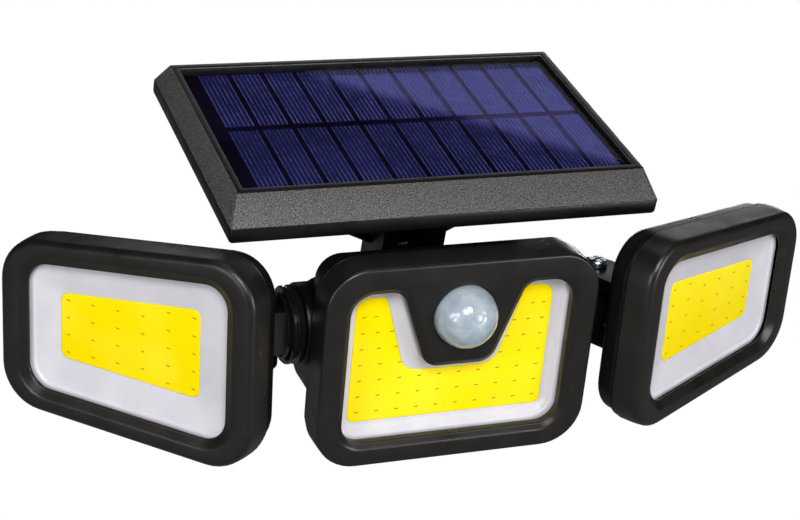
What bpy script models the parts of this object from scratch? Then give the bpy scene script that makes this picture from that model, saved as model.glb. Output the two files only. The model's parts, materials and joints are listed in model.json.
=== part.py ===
"""Three-head solar flood light with a motion sensor, a tilting lamp cluster and two adjustable side heads.

World frame: metres, +Z up, origin at the centre of the wall bracket's back face, the wall in the plane y = 0,
the lamp facing -Y and +X to the right of somebody who looks at it. Dimensions below are in millimetres and
are turned into metres when a mesh or a location is written.
"""

import math

import bmesh
import bpy
from mathutils import Matrix, Vector

MM = 0.001
GAP = 0.3  # clearance between pieces that touch in the real lamp
CORNER_STEPS = 4  # straight steps round a shell's corner
SMALL_CORNER_STEPS = 2  # straight steps round a corner of the panel, the battery box or a board
ROUND_STEPS = 16  # straight steps round a small cylinder

# Placing of the three frames -------------------------------------------------------------------
LAMP_ORIGIN = (0.0, -120.0, -27.9)  # on the plane of the centre lamp's light surface
PANEL_ORIGIN = (0.0, -102.6, 30.7)  # middle of the front edge of the panel's top face
PANEL_SLOPE = 9.0  # degrees, back edge higher
TILT_AXIS = (54.6, 7.9)  # y and z of the cluster's tilt axis, in the lamp frame
ARM_AXIS = (23.0, 3.7)  # y and z of both arms' swivel axis, in the lamp frame
KNUCKLE_X = 68.0  # distance of each side head's vertical pivot from the middle
ARM_REST = {"left": -6.0, "right": -1.9}  # degrees about X at rest, negative looks up
YAW_REST = {"left": 45.7, "right": 26.2}  # degrees that each head is turned outwards at rest
SIDES = {"left": -1.0, "right": 1.0}

# Fasteners: head radius and height, shank radius and length; nuts are radius and thickness -------
COVER_SCREW = (2.8, 1.8, 1.5, 5.0)
BRACKET_SCREW = (2.8, 1.8, 1.5, 9.0)
CENTRE_CASE_SCREW = (2.7, 1.8, 1.2, 13.0)
HEAD_CASE_SCREW = (2.7, 1.8, 1.2, 8.0)
ARM_SCREW = (4.2, 2.4, 2.0, 9.5)
TILT_BOLT = (4.6, 3.0, 2.5)
TILT_NUT = (4.6, 4.0)
TILT_HOLE_R = 2.8
HINGE_SCREW = (3.9, 2.8, 2.0)
HINGE_NUT = (4.4, 3.2)
HINGE_HOLE_R = 2.3
ARM_WASHER = (9.9, 1.5)
SCREW_HOLE_R = 1.8

# Solar panel, in the panel frame: x, y back along the slope, z along its normal -----------------
PANEL_TOP = (-78.2, 78.2, 0.0, 92.0)
PANEL_BASE = (-82.2, 82.2, -9.0, 98.5)
BEVEL_DROP = 9.0
PANEL_DEPTH = 15.0
LIP_WIDTH = 3.0
LIP_DROP = 1.6
GLASS_THICK = 2.0
CELL_THICK = 1.2
LEDGE_WIDTH = 4.0
FRAME_WALL = 2.5
COVER_THICK = 2.0
BOX_TOP = (-42.0, 42.0, 12.0, 60.0)
BOX_BOTTOM = (-40.0, 40.0, 29.0, 56.0)
BOX_DROP = 37.0
FLARE_TOP = (-33.0, 33.0, 30.0, 50.0)
FLARE_BOTTOM = (-12.5, 12.5, 30.0, 40.0)
FLARE_DROP = 46.0
BATTERY_R = 9.2
BATTERY_LENGTH = 65.0
BATTERY_AXIS = (38.5, -25.4)
YOKE_OUTER = 12.5
YOKE_ROOT = 24.0  # how far below the panel's top face the ears start, inside the box's sloping front wall
TONGUE_HALF = 6.0
HINGE_R = 9.5
COVER_SCREWS = [(-68.0, 6.0), (68.0, 6.0), (-68.0, 84.0), (68.0, 84.0)]
BRACKET_SCREWS = {"left": (-15.0, 79.0), "right": (15.0, 79.0)}

# Wall bracket, in the world frame ---------------------------------------------------------------
PLATE_HALF = 28.0
PLATE_THICK = 4.0
FLANGE_HALF = 25.0
FLANGE_THICK = 3.0
FLANGE_START = 63.0
RIB_THICK = 3.0
WALL_HOLE_R = 2.6
WALL_HOLE_Z = 18.0

# Lamp shells: y is measured from the light surface, front negative -------------------------------
FACE_Y = -8.5
LIP_BACK_Y = -4.3
SEAM_RIM = 1.8  # thickness of a rear shell's rim, which has the front shell's outline
WALL = 2.5
CENTRE_SLOPE = 2.2  # how far the centre recess widens towards the face
HEAD_SLOPE = 3.0
GROOVE_IN = 0.6
GROOVE_OUT = 1.9
GROOVE_DEEP = 0.8
WINDOW_Y = (-4.0, -2.8)
TRAY_Y = (-2.5, 0.3, 1.3)
PHOSPHOR_Y = (0.0, 1.3)
BOARD_Y = (1.6, 3.2)

# Centre lamp ----------------------------------------------------------------------------------
CENTRE_BOUNDS = (-52.5, 52.5, -39.8, 38.5)
CENTRE_R = 16.0
CENTRE_LIP_Y = -7.0
PIR_Z = 17.5
PIR_R = 11.6
HOUSING = (48.2, -28.1, 17.5)  # half width, bottom and top of the rear block
HOUSING_BACK = 36.0
SIDE_WALL = 4.0
CENTRE_SEAM_Y = 3.5
TIER_BOUNDS = (-49.5, 49.5, -36.8, 35.5)  # the rear shell steps in to this behind its rim
TIER_R = 9.0
TIER_EDGE = 1.0
SHOULDER_Y = 13.5
BOSS_R = 15.0
BOSS_END = 51.9
ARM_HOLE_R = 8.3
CASE_SCREWS = [(-44.0, -31.4), (44.0, -31.4), (-44.0, 30.1), (44.0, 30.1)]
POST_R = 2.2
POST_HOLE_R = 1.5
CONTROL_BOARD = (-34.0, 34.0, -20.0, 22.0)
CONTROL_Y = (9.0, 10.6)
SWITCH = (-3.0, 3.0, -20.0, -17.0)
# The sensor can: radius, and distance ahead of the light surface
SENSOR_CAN = [(4.0, 3.0), (4.6, 2.6), (4.6, -1.2), (3.0, -1.2), (3.0, -8.7)]
DOME_FLANGE_R = 13.5
DOME_FOOT = (2.8, 4.0)  # how far ahead of the light surface the dome's flange starts and ends
DOME_WALL = 1.0
BUTTON_Y = 18.0
BUTTON_R = 4.0
BUTTON_OUT = 2.0  # how far the button stands below the housing
BUTTON_COLLAR = (1.2, 4.3, 5.2)  # overhang, bottom and top of the collar that keeps it in
STEM_R = 1.5
STEM_TOP = 6.2

# Side heads, in the head frame: origin on the pivot, x outwards ----------------------------------
HEAD_LIGHT_Y = -33.5  # the light surface lies this far in front of the pivot
HEAD_OUTLINE = [(-22.0, -39.4), (80.0, -31.2), (80.0, 31.2), (-22.0, 39.4)]
HEAD_R = 17.0
HEAD_WINDOW = [(-10.5, -28.6), (68.7, -22.7), (68.7, 22.7), (-10.5, 28.6)]
HEAD_WINDOW_R = 8.5
HEAD_LIGHT = [(2.6, -16.3), (58.4, -12.0), (58.4, 12.0), (2.6, 16.3)]
HEAD_LIGHT_R = 3.0
HEAD_FACE_Y = -6.0
HEAD_LIP_Y = -4.2
HEAD_SEAM_Y = 5.0
HEAD_BACK_Y = 14.5
ARM_SHAFT_R = 8.0
ARM_SHAFT_END = -24.6
ARM_FLANGE_R = 14.3
ARM_FLANGE = 5.0
ARM_NECK_R = 11.5
ARM_NECK_END = -9.8
ARM_TONGUE_R = 8.6
EAR_R = 9.5
EAR_IN = 8.3
EAR_TOP = 13.0
EAR_BOTTOM = -14.0
HEAD_SCREWS = [(-13.5, 0.0), (72.7, 0.0)]

COLOURS = {
    "black_plastic": ((0.035, 0.033, 0.032), 0.45, 0.0),
    "grained_plastic": ((0.075, 0.073, 0.072), 0.6, 0.0),
    "white_reflector": ((0.82, 0.82, 0.85), 0.35, 0.0),
    "phosphor": ((0.95, 0.78, 0.02), 0.5, 0.0),
    "clear_plastic": ((0.9, 0.92, 0.95), 0.05, 0.0),
    "milky_lens": ((0.72, 0.78, 0.83), 0.3, 0.0),
    "solar_cells": ((0.02, 0.03, 0.16), 0.25, 0.0),
    "glass": ((0.55, 0.6, 0.8), 0.04, 0.0),
    "steel": ((0.6, 0.62, 0.65), 0.25, 1.0),
    "silicone": ((0.12, 0.12, 0.12), 0.8, 0.0),
    "circuit_board": ((0.03, 0.22, 0.09), 0.5, 0.0),
    "battery_wrap": ((0.08, 0.3, 0.55), 0.4, 0.0),
}


# Scene helpers --------------------------------------------------------------------------------
def clear_scene():
    for obj in list(bpy.data.objects):
        bpy.data.objects.remove(obj, do_unlink=True)


def material(name):
    found = bpy.data.materials.get(name)
    if found:
        return found
    colour, roughness, metallic = COLOURS[name]
    made = bpy.data.materials.new(name)
    made.use_nodes = True
    shader = made.node_tree.nodes["Principled BSDF"]
    shader.inputs["Base Color"].default_value = (*colour, 1.0)
    shader.inputs["Roughness"].default_value = roughness
    shader.inputs["Metallic"].default_value = metallic
    made.diffuse_color = (*colour, 1.0)
    return made


def empty(name, place, parent=None, turn=(0.0, 0.0, 0.0)):
    """A frame that pieces hang on; place is in millimetres and turn in degrees."""
    frame = bpy.data.objects.new(name, None)
    bpy.context.collection.objects.link(frame)
    frame.location = Vector(place) * MM
    frame.rotation_euler = [math.radians(angle) for angle in turn]
    frame.parent = parent
    return frame


def piece(name, shape, finish, parent, place=(0.0, 0.0, 0.0), turn=(0.0, 0.0, 0.0), side=1.0):
    """Turn a shape in millimetres into a named object; side -1 mirrors it to the left."""
    for vert in shape.verts:
        vert.co = Vector((vert.co.x * side, vert.co.y, vert.co.z)) * MM
    bmesh.ops.recalc_face_normals(shape, faces=shape.faces)
    mesh = bpy.data.meshes.new(name)
    shape.to_mesh(mesh)
    shape.free()
    mesh.shade_smooth()
    mesh.set_sharp_from_angle(angle=math.radians(35.0))
    mesh.materials.append(material(finish))
    return hang(name, mesh, parent, place, turn)


def hang(name, mesh, parent, place, turn):
    obj = bpy.data.objects.new(name, mesh)
    bpy.context.collection.objects.link(obj)
    obj.location = Vector(place) * MM
    obj.rotation_euler = [math.radians(angle) for angle in turn]
    obj.parent = parent
    return obj


def combine(obj, operation, shape, side=1.0):
    """Unite or cut obj with a shape that is given in obj's own frame."""
    name = f"{obj.name}_{operation.lower()}_{len(obj.modifiers)}"
    tool = piece(name, shape, "black_plastic", obj, side=side)
    tool.hide_render = True
    tool.display_type = "WIRE"
    step = obj.modifiers.new(name, "BOOLEAN")
    step.operation = operation
    step.object = tool
    step.solver = "EXACT"


# Outlines -------------------------------------------------------------------------------------
def inset_corners(corners, inset):
    """Move each side of a counter-clockwise polygon inwards by inset and meet them again."""
    count = len(corners)
    lines = []
    for i in range(count):
        a, b = Vector(corners[i]), Vector(corners[(i + 1) % count])
        along = (b - a).normalized()
        lines.append((a + Vector((-along.y, along.x)) * inset, along))
    moved = []
    for i in range(count):
        (p, u), (q, v) = lines[i - 1], lines[i]
        cross = u.x * v.y - u.y * v.x
        gap = q - p
        moved.append(p + u * ((gap.x * v.y - gap.y * v.x) / cross))
    return moved


def rounded(corners, radii, inset=0.0, steps=CORNER_STEPS):
    """Outline points of a counter-clockwise polygon with arcs at its corners, moved inwards by inset."""
    count = len(corners)
    radii = list(radii) if isinstance(radii, (list, tuple)) else [radii] * count
    moved = inset_corners(corners, inset)
    points = []
    for i in range(count):
        here = moved[i]
        back = (moved[i - 1] - here).normalized()
        ahead = (moved[(i + 1) % count] - here).normalized()
        convex = ahead.x * back.y - ahead.y * back.x > 0.0
        radius = max(radii[i] - inset if convex else radii[i] + inset, 0.3)
        half = back.angle(ahead) / 2.0
        centre = here + (back + ahead).normalized() * (radius / math.sin(half))
        start = here + back * (radius / math.tan(half)) - centre
        sweep = (math.pi - 2.0 * half) * (1.0 if convex else -1.0)
        for k in range(steps + 1):
            angle = sweep * k / steps
            turned = Vector(
                (
                    start.x * math.cos(angle) - start.y * math.sin(angle),
                    start.x * math.sin(angle) + start.y * math.cos(angle),
                )
            )
            points.append(centre + turned)
    return points


def corners_of(bounds):
    x0, x1, y0, y1 = bounds
    return [(x0, y0), (x1, y0), (x1, y1), (x0, y1)]


def rectangle(bounds, radius, inset=0.0):
    return rounded(corners_of(bounds), radius, inset, SMALL_CORNER_STEPS)


def circle(centre, radius, steps=ROUND_STEPS):
    turns = [2.0 * math.pi * k / steps for k in range(steps)]
    return [Vector((centre[0] + radius * math.cos(t), centre[1] + radius * math.sin(t))) for t in turns]


def stadium(radius, reach, steps=10):
    """A half disc round the origin whose straight sides run on to y = -reach."""
    arc = [math.pi * k / steps for k in range(steps + 1)]
    ends = [Vector((-radius, -reach)), Vector((radius, -reach))]
    return [Vector((radius * math.cos(t), radius * math.sin(t))) for t in arc] + ends


# Solids ---------------------------------------------------------------------------------------
def level(points, height, plane):
    """Put flat points at a height on plane XZ (height along y), XY (along z) or YZ (along x)."""
    if plane == "XZ":
        return [Vector((p.x, height, p.y)) for p in points]
    if plane == "XY":
        return [Vector((p.x, p.y, height)) for p in points]
    return [Vector((height, p.x, p.y)) for p in points]


def loft(loops, ring=False, shape=None):
    """Skin a list of 3-D loops with equal counts; ring closes the last loop to the first."""
    shape = shape or bmesh.new()
    rows = [[shape.verts.new(p) for p in loop] for loop in loops]
    pairs = list(zip(rows, rows[1:])) + ([(rows[-1], rows[0])] if ring else [])
    for low, high in pairs:
        for i in range(len(low)):
            j = (i + 1) % len(low)
            shape.faces.new((low[i], low[j], high[j], high[i]))
    if not ring:
        shape.faces.new(rows[0][::-1])
        shape.faces.new(rows[-1])
    return shape


def prism(points, low, high, plane, shape=None):
    return loft([level(points, low, plane), level(points, high, plane)], shape=shape)


def stack(sections, plane="XZ", ring=False):
    """Loft a list of (points, height) sections."""
    return loft([level(points, height, plane) for points, height in sections], ring)


def fill(shape, rows):
    """Triangulate the flat area inside the first loop of vertices and outside the others."""
    edges = []
    for row in rows:
        for i in range(len(row)):
            edges.append(shape.edges.get((row[i], row[(i + 1) % len(row)])))
    bmesh.ops.triangle_fill(shape, use_beauty=True, use_dissolve=False, edges=edges)


def revolve(profile, steps=ROUND_STEPS):
    """Turn a closed profile of (radius, height) points about +Z; radius 0 makes a pole."""
    shape = bmesh.new()
    rows = []
    for radius, height in profile:
        if radius == 0.0:
            rows.append([shape.verts.new((0.0, 0.0, height))] * steps)
        else:
            turns = [2.0 * math.pi * k / steps for k in range(steps)]
            rows.append([shape.verts.new((radius * math.cos(t), radius * math.sin(t), height)) for t in turns])
    closed = profile[0][0] > 0.0
    pairs = list(zip(rows, rows[1:])) + ([(rows[-1], rows[0])] if closed else [])
    for low, high in pairs:
        for i in range(steps):
            j = (i + 1) % steps
            corners = list(dict.fromkeys((low[i], low[j], high[j], high[i])))
            if len(corners) > 2:
                shape.faces.new(corners)
    return shape


def turned(shape, axis, place=(0.0, 0.0, 0.0)):
    """Turn a shape that stands along +Z so that it points along axis, then move it to place."""
    spin = Vector((0.0, 0.0, 1.0)).rotation_difference(Vector(axis)).to_matrix().to_4x4()
    bmesh.ops.transform(shape, matrix=Matrix.Translation(place) @ spin, verts=shape.verts)
    return shape


def rod(radius, low, high, axis="x", centre=(0.0, 0.0), steps=ROUND_STEPS, shape=None):
    """A cylinder along one axis from low to high; centre is its place on the other two axes."""
    plane = {"x": "YZ", "y": "XZ", "z": "XY"}[axis]
    return prism(circle(centre, radius, steps), low, high, plane, shape)


def small_screw(head_r, head_h, shank_r, shank_l):
    """A plain domed screw along +Z: head above z = 0, shank below."""
    profile = [(0.0, -shank_l), (shank_r, -shank_l), (shank_r, 0.0), (head_r, 0.0)]
    profile += [(head_r * 0.8, head_h * 0.8), (0.0, head_h)]
    return revolve(profile, 10)


def cross_screw(head_r, head_h, shank_r, shank_l):
    """A domed cross-recess screw along +Z: head above z = 0, shank below, on sixteen radial lines."""
    arm, half = head_r * 0.58, head_r * 0.15
    corner = math.atan2(half, arm)
    base = [0.0, corner, math.pi / 4.0, math.pi / 2.0 - corner]
    turns = [quarter * math.pi / 2.0 + t for quarter in range(4) for t in base]

    def disc(radius, height):
        return [Vector((radius * math.cos(t), radius * math.sin(t), height)) for t in turns]

    def cross(height):
        loop = []
        for t in turns:
            c, s = abs(math.cos(t)) + 1e-9, abs(math.sin(t)) + 1e-9
            reach = max(min(arm / c, half / s), min(half / c, arm / s))
            loop.append(Vector((reach * math.cos(t), reach * math.sin(t), height)))
        return loop

    loops = [disc(shank_r, -shank_l), disc(shank_r, 0.0), disc(head_r, 0.0), disc(head_r, head_h * 0.35)]
    loops += [disc(head_r * 0.78, head_h * 0.88), cross(head_h), cross(head_h * 0.35)]
    return loft(loops)


# Solar panel ----------------------------------------------------------------------------------
def build_panel_frame(parent):
    base_r, top_r = 3.0, 2.0
    inside = FRAME_WALL
    ledge_z = -LIP_DROP - GLASS_THICK - CELL_THICK - 2.0 * GAP
    sections = [
        (rectangle(PANEL_BASE, base_r, 0.8), -PANEL_DEPTH),
        (rectangle(PANEL_BASE, base_r), -PANEL_DEPTH + 1.0),
        (rectangle(PANEL_BASE, base_r), -BEVEL_DROP),
        (rectangle(PANEL_TOP, top_r), 0.0),
        (rectangle(PANEL_TOP, top_r, LIP_WIDTH), 0.0),
        (rectangle(PANEL_TOP, top_r, LIP_WIDTH), ledge_z),
        (rectangle(PANEL_TOP, top_r, LIP_WIDTH + LEDGE_WIDTH), ledge_z),
        (rectangle(PANEL_TOP, top_r, LIP_WIDTH + LEDGE_WIDTH), ledge_z - 1.6),
        (rectangle(PANEL_TOP, top_r, LIP_WIDTH - 0.6), ledge_z - 1.6),
        (rectangle(PANEL_BASE, base_r, inside), -BEVEL_DROP - 0.4),
        (rectangle(PANEL_BASE, base_r, inside), -PANEL_DEPTH),
    ]
    piece("panel_frame", stack(sections, "XY", ring=True), "grained_plastic", parent)


def build_panel_stack(parent):
    glass_top = -LIP_DROP
    cells_top = glass_top - GLASS_THICK - GAP
    pane = rectangle(PANEL_TOP, 2.0, LIP_WIDTH + GAP)
    shape = prism(pane, glass_top - GLASS_THICK, glass_top, "XY")
    piece("panel_glass", shape, "glass", parent)
    shape = prism(pane, cells_top - CELL_THICK, cells_top, "XY")
    piece("solar_cells", shape, "solar_cells", parent)


def build_panel_gasket(parent):
    outer = rectangle(PANEL_BASE, 3.0, FRAME_WALL + GAP)
    inner = rectangle(PANEL_BASE, 3.0, FRAME_WALL + GAP + 1.6)
    top = -PANEL_DEPTH + COVER_THICK + 2.0 * GAP + 1.2
    low = -PANEL_DEPTH + COVER_THICK + 2.0 * GAP
    shape = stack([(outer, low), (outer, top), (inner, top), (inner, low)], "XY", ring=True)
    piece("panel_gasket", shape, "silicone", parent)


def panel_point(y, z):
    """Turn world y and z, in millimetres, into the panel frame's y and z."""
    slope = math.radians(PANEL_SLOPE)
    dy, dz = y - PANEL_ORIGIN[1], z - PANEL_ORIGIN[2]
    return dy * math.cos(slope) + dz * math.sin(slope), dz * math.cos(slope) - dy * math.sin(slope)


def hinge_in_panel():
    return panel_point(LAMP_ORIGIN[1] + TILT_AXIS[0], LAMP_ORIGIN[2] + TILT_AXIS[1])


def build_back_cover(parent):
    """The lid under the panel: plate, battery box with sloping walls, flare and the two yoke ears."""
    plate = rectangle(PANEL_BASE, 3.0, FRAME_WALL + GAP)
    top, low = -PANEL_DEPTH + GAP + COVER_THICK, -PANEL_DEPTH + GAP
    obj = piece("panel_back_cover", prism(plate, low, top, "XY"), "black_plastic", parent)
    box = [
        (rectangle(BOX_TOP, 4.0), top - 0.5),
        (rectangle(BOX_TOP, 4.0), low - 0.5),
        (rectangle(BOX_BOTTOM, 3.0), -BOX_DROP),
    ]
    combine(obj, "UNION", stack(box, "XY"))
    flare = [(rectangle(FLARE_TOP, 4.0), -BOX_DROP + 0.5), (rectangle(FLARE_BOTTOM, 2.0), -FLARE_DROP)]
    combine(obj, "UNION", stack(flare, "XY"))
    y, z = hinge_in_panel()
    ears = bmesh.new()
    outline = [Vector((y + p.x, z - p.y)) for p in stadium(HINGE_R, -YOKE_ROOT - z)]
    for side in SIDES.values():
        inner, outer = side * (TONGUE_HALF + GAP), side * YOKE_OUTER
        prism(outline, inner, outer, "YZ", ears)
    combine(obj, "UNION", ears)
    hollow = [
        (rectangle(BOX_TOP, 3.0, 2.0), top + 1.0),
        (rectangle(BOX_TOP, 3.0, 2.0), low - 0.5),
        (rectangle(BOX_BOTTOM, 2.0, 2.0), -BOX_DROP + 2.0),
    ]
    combine(obj, "DIFFERENCE", stack(hollow, "XY"))
    combine(obj, "DIFFERENCE", rod(TILT_HOLE_R, -20.0, 20.0, "x", (y, z)))
    holes = bmesh.new()
    for x, y in COVER_SCREWS + list(BRACKET_SCREWS.values()):
        rod(SCREW_HOLE_R, low - 1.0, top + 1.0, "z", (x, y), 12, holes)
    combine(obj, "DIFFERENCE", holes)


def build_battery(parent):
    y, z = BATTERY_AXIS
    half = BATTERY_LENGTH / 2.0
    profile = [(0.0, -half), (BATTERY_R, -half), (BATTERY_R, half - 1.5), (BATTERY_R - 1.2, half - 1.5)]
    profile += [(BATTERY_R - 1.2, half - 1.0), (3.0, half - 1.0), (3.0, half), (0.0, half)]
    piece("battery_cell", turned(revolve(profile, 24), (1.0, 0.0, 0.0), (0.0, y, z)), "battery_wrap", parent)
    floor, wall = z - BATTERY_R + 1.0, 1.5
    reach, rise = half + GAP + wall, z + 4.0
    inner = half + GAP
    outline = [(-reach, floor - 1.0), (reach, floor - 1.0), (reach, rise), (inner, rise)]
    outline += [(inner, floor), (-inner, floor), (-inner, rise), (-reach, rise)]
    shape = prism([Vector(p) for p in outline], y - 7.0, y + 7.0, "XZ")
    obj = piece("battery_holder", shape, "black_plastic", parent)
    combine(obj, "DIFFERENCE", rod(BATTERY_R + GAP, -inner, inner, "x", (y, z), 32))


def build_tilt_bolt(parent):
    y, z = hinge_in_panel()
    size, thick = TILT_NUT
    shape = cross_screw(*TILT_BOLT, 2.0 * YOKE_OUTER + GAP + thick + 1.0)
    place = (-YOKE_OUTER - GAP, y, z)
    piece("tilt_bolt", shape, "steel", parent, place, (0.0, -90.0, 0.0))
    hexagon = circle((y, z), size, 6)
    nut = prism(hexagon, YOKE_OUTER + GAP, YOKE_OUTER + GAP + thick, "YZ")
    obj = piece("tilt_nut", nut, "steel", parent)
    combine(obj, "DIFFERENCE", rod(TILT_HOLE_R, YOKE_OUTER - 1.0, YOKE_OUTER + 6.0, "x", (y, z)))


def build_panel_screws(parent):
    low = -PANEL_DEPTH
    for number, (x, y) in enumerate(COVER_SCREWS, 1):
        shape = small_screw(*COVER_SCREW)
        piece(f"cover_screw_{number}", shape, "steel", parent, (x, y, low), (180.0, 0.0, 0.0))
    for side, (x, y) in BRACKET_SCREWS.items():
        shape = small_screw(*BRACKET_SCREW)
        place = (x, y, low - FLANGE_THICK - GAP)
        piece(f"bracket_screw_{side}", shape, "steel", parent, place, (180.0, 0.0, 0.0))


# Wall bracket ---------------------------------------------------------------------------------
def world_point(y, z):
    """Turn the panel frame's y and z into world y and z, in millimetres."""
    slope = math.radians(PANEL_SLOPE)
    back = PANEL_ORIGIN[1] + y * math.cos(slope) - z * math.sin(slope)
    return back, PANEL_ORIGIN[2] + y * math.sin(slope) + z * math.cos(slope)


def build_wall_bracket(parent):
    """A plate on the wall, a flange under the panel's back edge and two ribs, as one piece."""
    top, low = -PANEL_DEPTH, -PANEL_DEPTH - FLANGE_THICK
    back = 95.0
    start = world_point(FLANGE_START, top)
    under = world_point(FLANGE_START, low)
    knee = world_point(back, top)
    knee_low = world_point(back, low)
    crest = knee[1]
    outline = [(0.0, -PLATE_HALF), (0.0, crest), (knee[0], crest), start, under]
    outline += [(-PLATE_THICK, knee_low[1]), (-PLATE_THICK, -PLATE_HALF)]
    shape = prism([Vector(p) for p in outline], -FLANGE_HALF, FLANGE_HALF, "YZ")
    obj = piece("wall_bracket", shape, "black_plastic", parent)
    foot = world_point(FLANGE_START + 6.0, low + 0.5)
    rib = [(-PLATE_THICK + 0.5, -14.0), (-PLATE_THICK + 0.5, knee_low[1] + 1.0), foot]
    ribs = bmesh.new()
    for side in SIDES.values():
        edge = side * (FLANGE_HALF - 1.0)
        prism([Vector(p) for p in rib], edge, edge - side * RIB_THICK, "YZ", ribs)
    combine(obj, "UNION", ribs)
    holes = bmesh.new()
    for z in (-WALL_HOLE_Z, WALL_HOLE_Z):
        rod(WALL_HOLE_R, -PLATE_THICK - 1.0, 1.0, "y", (0.0, z), 16, holes)
    combine(obj, "DIFFERENCE", holes)
    for x, y in BRACKET_SCREWS.values():
        hole_y, hole_z = world_point(y, low)
        tilt = (0.0, -math.sin(math.radians(PANEL_SLOPE)), math.cos(math.radians(PANEL_SLOPE)))
        shape = turned(rod(SCREW_HOLE_R, -6.0, 6.0, "z", steps=12), tilt, (x, hole_y, hole_z))
        combine(obj, "DIFFERENCE", shape)


# One lamp's light-giving stack -----------------------------------------------------------------
def shell_rim(outline, radius, seam, deep):
    """Sections across a shell's rim with its seal groove, from the outside in; deep points into the wall."""
    return [
        (rounded(outline, radius, GROOVE_IN), seam),
        (rounded(outline, radius, GROOVE_IN), seam + deep),
        (rounded(outline, radius, GROOVE_OUT), seam + deep),
        (rounded(outline, radius, GROOVE_OUT), seam),
        (rounded(outline, radius, WALL), seam),
    ]


def shifted(sections, y):
    return [(points, height + y) for points, height in sections]


def seal(name, outline, radius, seam, y, parent, side=1.0):
    outer = rounded(outline, radius, GROOVE_IN + GAP)
    inner = rounded(outline, radius, GROOVE_OUT - GAP)
    low, high = seam - 0.5 + y, seam + GAP + 0.5 + y
    shape = stack([(outer, low), (outer, high), (inner, high), (inner, low)], ring=True)
    piece(name, shape, "silicone", parent, side=side)


def light_stack(prefix, window, window_r, light, light_r, y, parent, side=1.0):
    """Clear window, white reflector tray, light board and its phosphor layer, front to back."""
    sheet = rounded(window, window_r, -1.8)
    shape = prism(sheet, WINDOW_Y[0] + y, WINDOW_Y[1] + y, "XZ")
    piece(f"{prefix}_window", shape, "clear_plastic", parent, side=side)
    rim, floor, back = TRAY_Y
    opening = rounded(light, light_r, -GAP)
    tray = [
        (rounded(window, window_r, -1.2), rim),
        (rounded(window, window_r, -1.2), rim + 0.8),
        (rounded(window, window_r, 1.2), back),
        (opening, back),
        (opening, floor),
        (rounded(window, window_r, 2.4), floor),
        (rounded(window, window_r, 0.0), rim),
    ]
    piece(f"{prefix}_reflector", stack(shifted(tray, y), ring=True), "white_reflector", parent, side=side)
    shape = prism(rounded(light, light_r), PHOSPHOR_Y[0] + y, PHOSPHOR_Y[1] + y, "XZ")
    piece(f"{prefix}_phosphor", shape, "phosphor", parent, side=side)
    shape = prism(rounded(light, light_r, -2.5), BOARD_Y[0] + y, BOARD_Y[1] + y, "XZ")
    piece(f"{prefix}_light_board", shape, "white_reflector", parent, side=side)


# Centre lamp ----------------------------------------------------------------------------------
def centre_outline():
    return corners_of(CENTRE_BOUNDS)


def horned(half, low, top, horn, notch_half, notch):
    """A U-shaped outline, counter-clockwise from its lower left corner."""
    right = [(half, low), (half, top), (horn, top), (notch_half, notch)]
    return [(-half, low)] + right + [(-x, z) for x, z in right[:0:-1]]


CENTRE_WINDOW = horned(42.5, -30.6, 28.0, 23.8, 12.6, -2.4)
CENTRE_WINDOW_R = [8.0, 8.0, 8.5, 6.0, 7.0, 7.0, 6.0, 8.5]
CENTRE_LIGHT = horned(38.0, -25.9, 23.0, 26.8, 17.6, -7.1)
CENTRE_LIGHT_R = [2.5, 2.5, 5.0, 2.5, 7.0, 7.0, 2.5, 5.0]


def build_centre_bezel(parent):
    """Front shell: face with the U-shaped recess and the sensor hole, side wall, and four screw posts."""
    outline = centre_outline()
    shape = bmesh.new()
    outside = [
        (rounded(outline, CENTRE_R, 1.4), FACE_Y),
        (rounded(outline, CENTRE_R, 0.4), FACE_Y + 0.5),
        (rounded(outline, CENTRE_R, 0.0), FACE_Y + 1.6),
        (rounded(outline, CENTRE_R, 0.0), CENTRE_SEAM_Y),
    ]
    outside += shell_rim(outline, CENTRE_R, CENTRE_SEAM_Y, -GROOVE_DEEP)
    outside += [(rounded(outline, CENTRE_R, WALL), LIP_BACK_Y)]
    opening = [
        (rounded(CENTRE_WINDOW, CENTRE_WINDOW_R, -CENTRE_SLOPE), FACE_Y),
        (rounded(CENTRE_WINDOW, CENTRE_WINDOW_R), CENTRE_LIP_Y),
        (rounded(CENTRE_WINDOW, CENTRE_WINDOW_R), LIP_BACK_Y),
    ]
    sensor = [(circle((0.0, PIR_Z), PIR_R + GAP, 24), y) for y in (FACE_Y, LIP_BACK_Y)]
    fronts, backs = [], []
    for sections in (outside, opening, sensor):
        rows = [[shape.verts.new(p) for p in level(points, y, "XZ")] for points, y in sections]
        for low, high in zip(rows, rows[1:]):
            for i in range(len(low)):
                j = (i + 1) % len(low)
                shape.faces.new((low[i], low[j], high[j], high[i]))
        fronts.append(rows[0])
        backs.append(rows[-1])
    fill(shape, fronts)
    fill(shape, backs)
    obj = piece("centre_bezel", shape, "black_plastic", parent, lamp_place())
    posts, holes = bmesh.new(), bmesh.new()
    for x, z in CASE_SCREWS:
        rod(POST_R, LIP_BACK_Y - 0.5, CENTRE_SEAM_Y, "y", (x, z), 12, posts)
        rod(POST_HOLE_R, 0.5, CENTRE_SEAM_Y + 1.0, "y", (x, z), 12, holes)
    combine(obj, "UNION", posts)
    combine(obj, "DIFFERENCE", holes)


def lamp_place():
    """Place of the lamp frame's origin, seen from the tilt axis."""
    return (0.0, -TILT_AXIS[0], -TILT_AXIS[1])


def housing_block(inset, y):
    half, low, top = HOUSING
    corners = [(-half, low), (half, low), (half, top), (-half, top)]
    return rounded(corners, [12.0, 12.0, 9.0, 9.0], inset), y


def housing_cavity(y):
    """The deep block's inside: thick side and bottom walls for the arms and the button, a thin top."""
    half, low, top = HOUSING[0] - SIDE_WALL, HOUSING[1] + SIDE_WALL, HOUSING[2] - WALL
    return rounded([(-half, low), (half, low), (half, top), (-half, top)], [8.0, 8.0, 3.0, 3.0]), y


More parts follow.
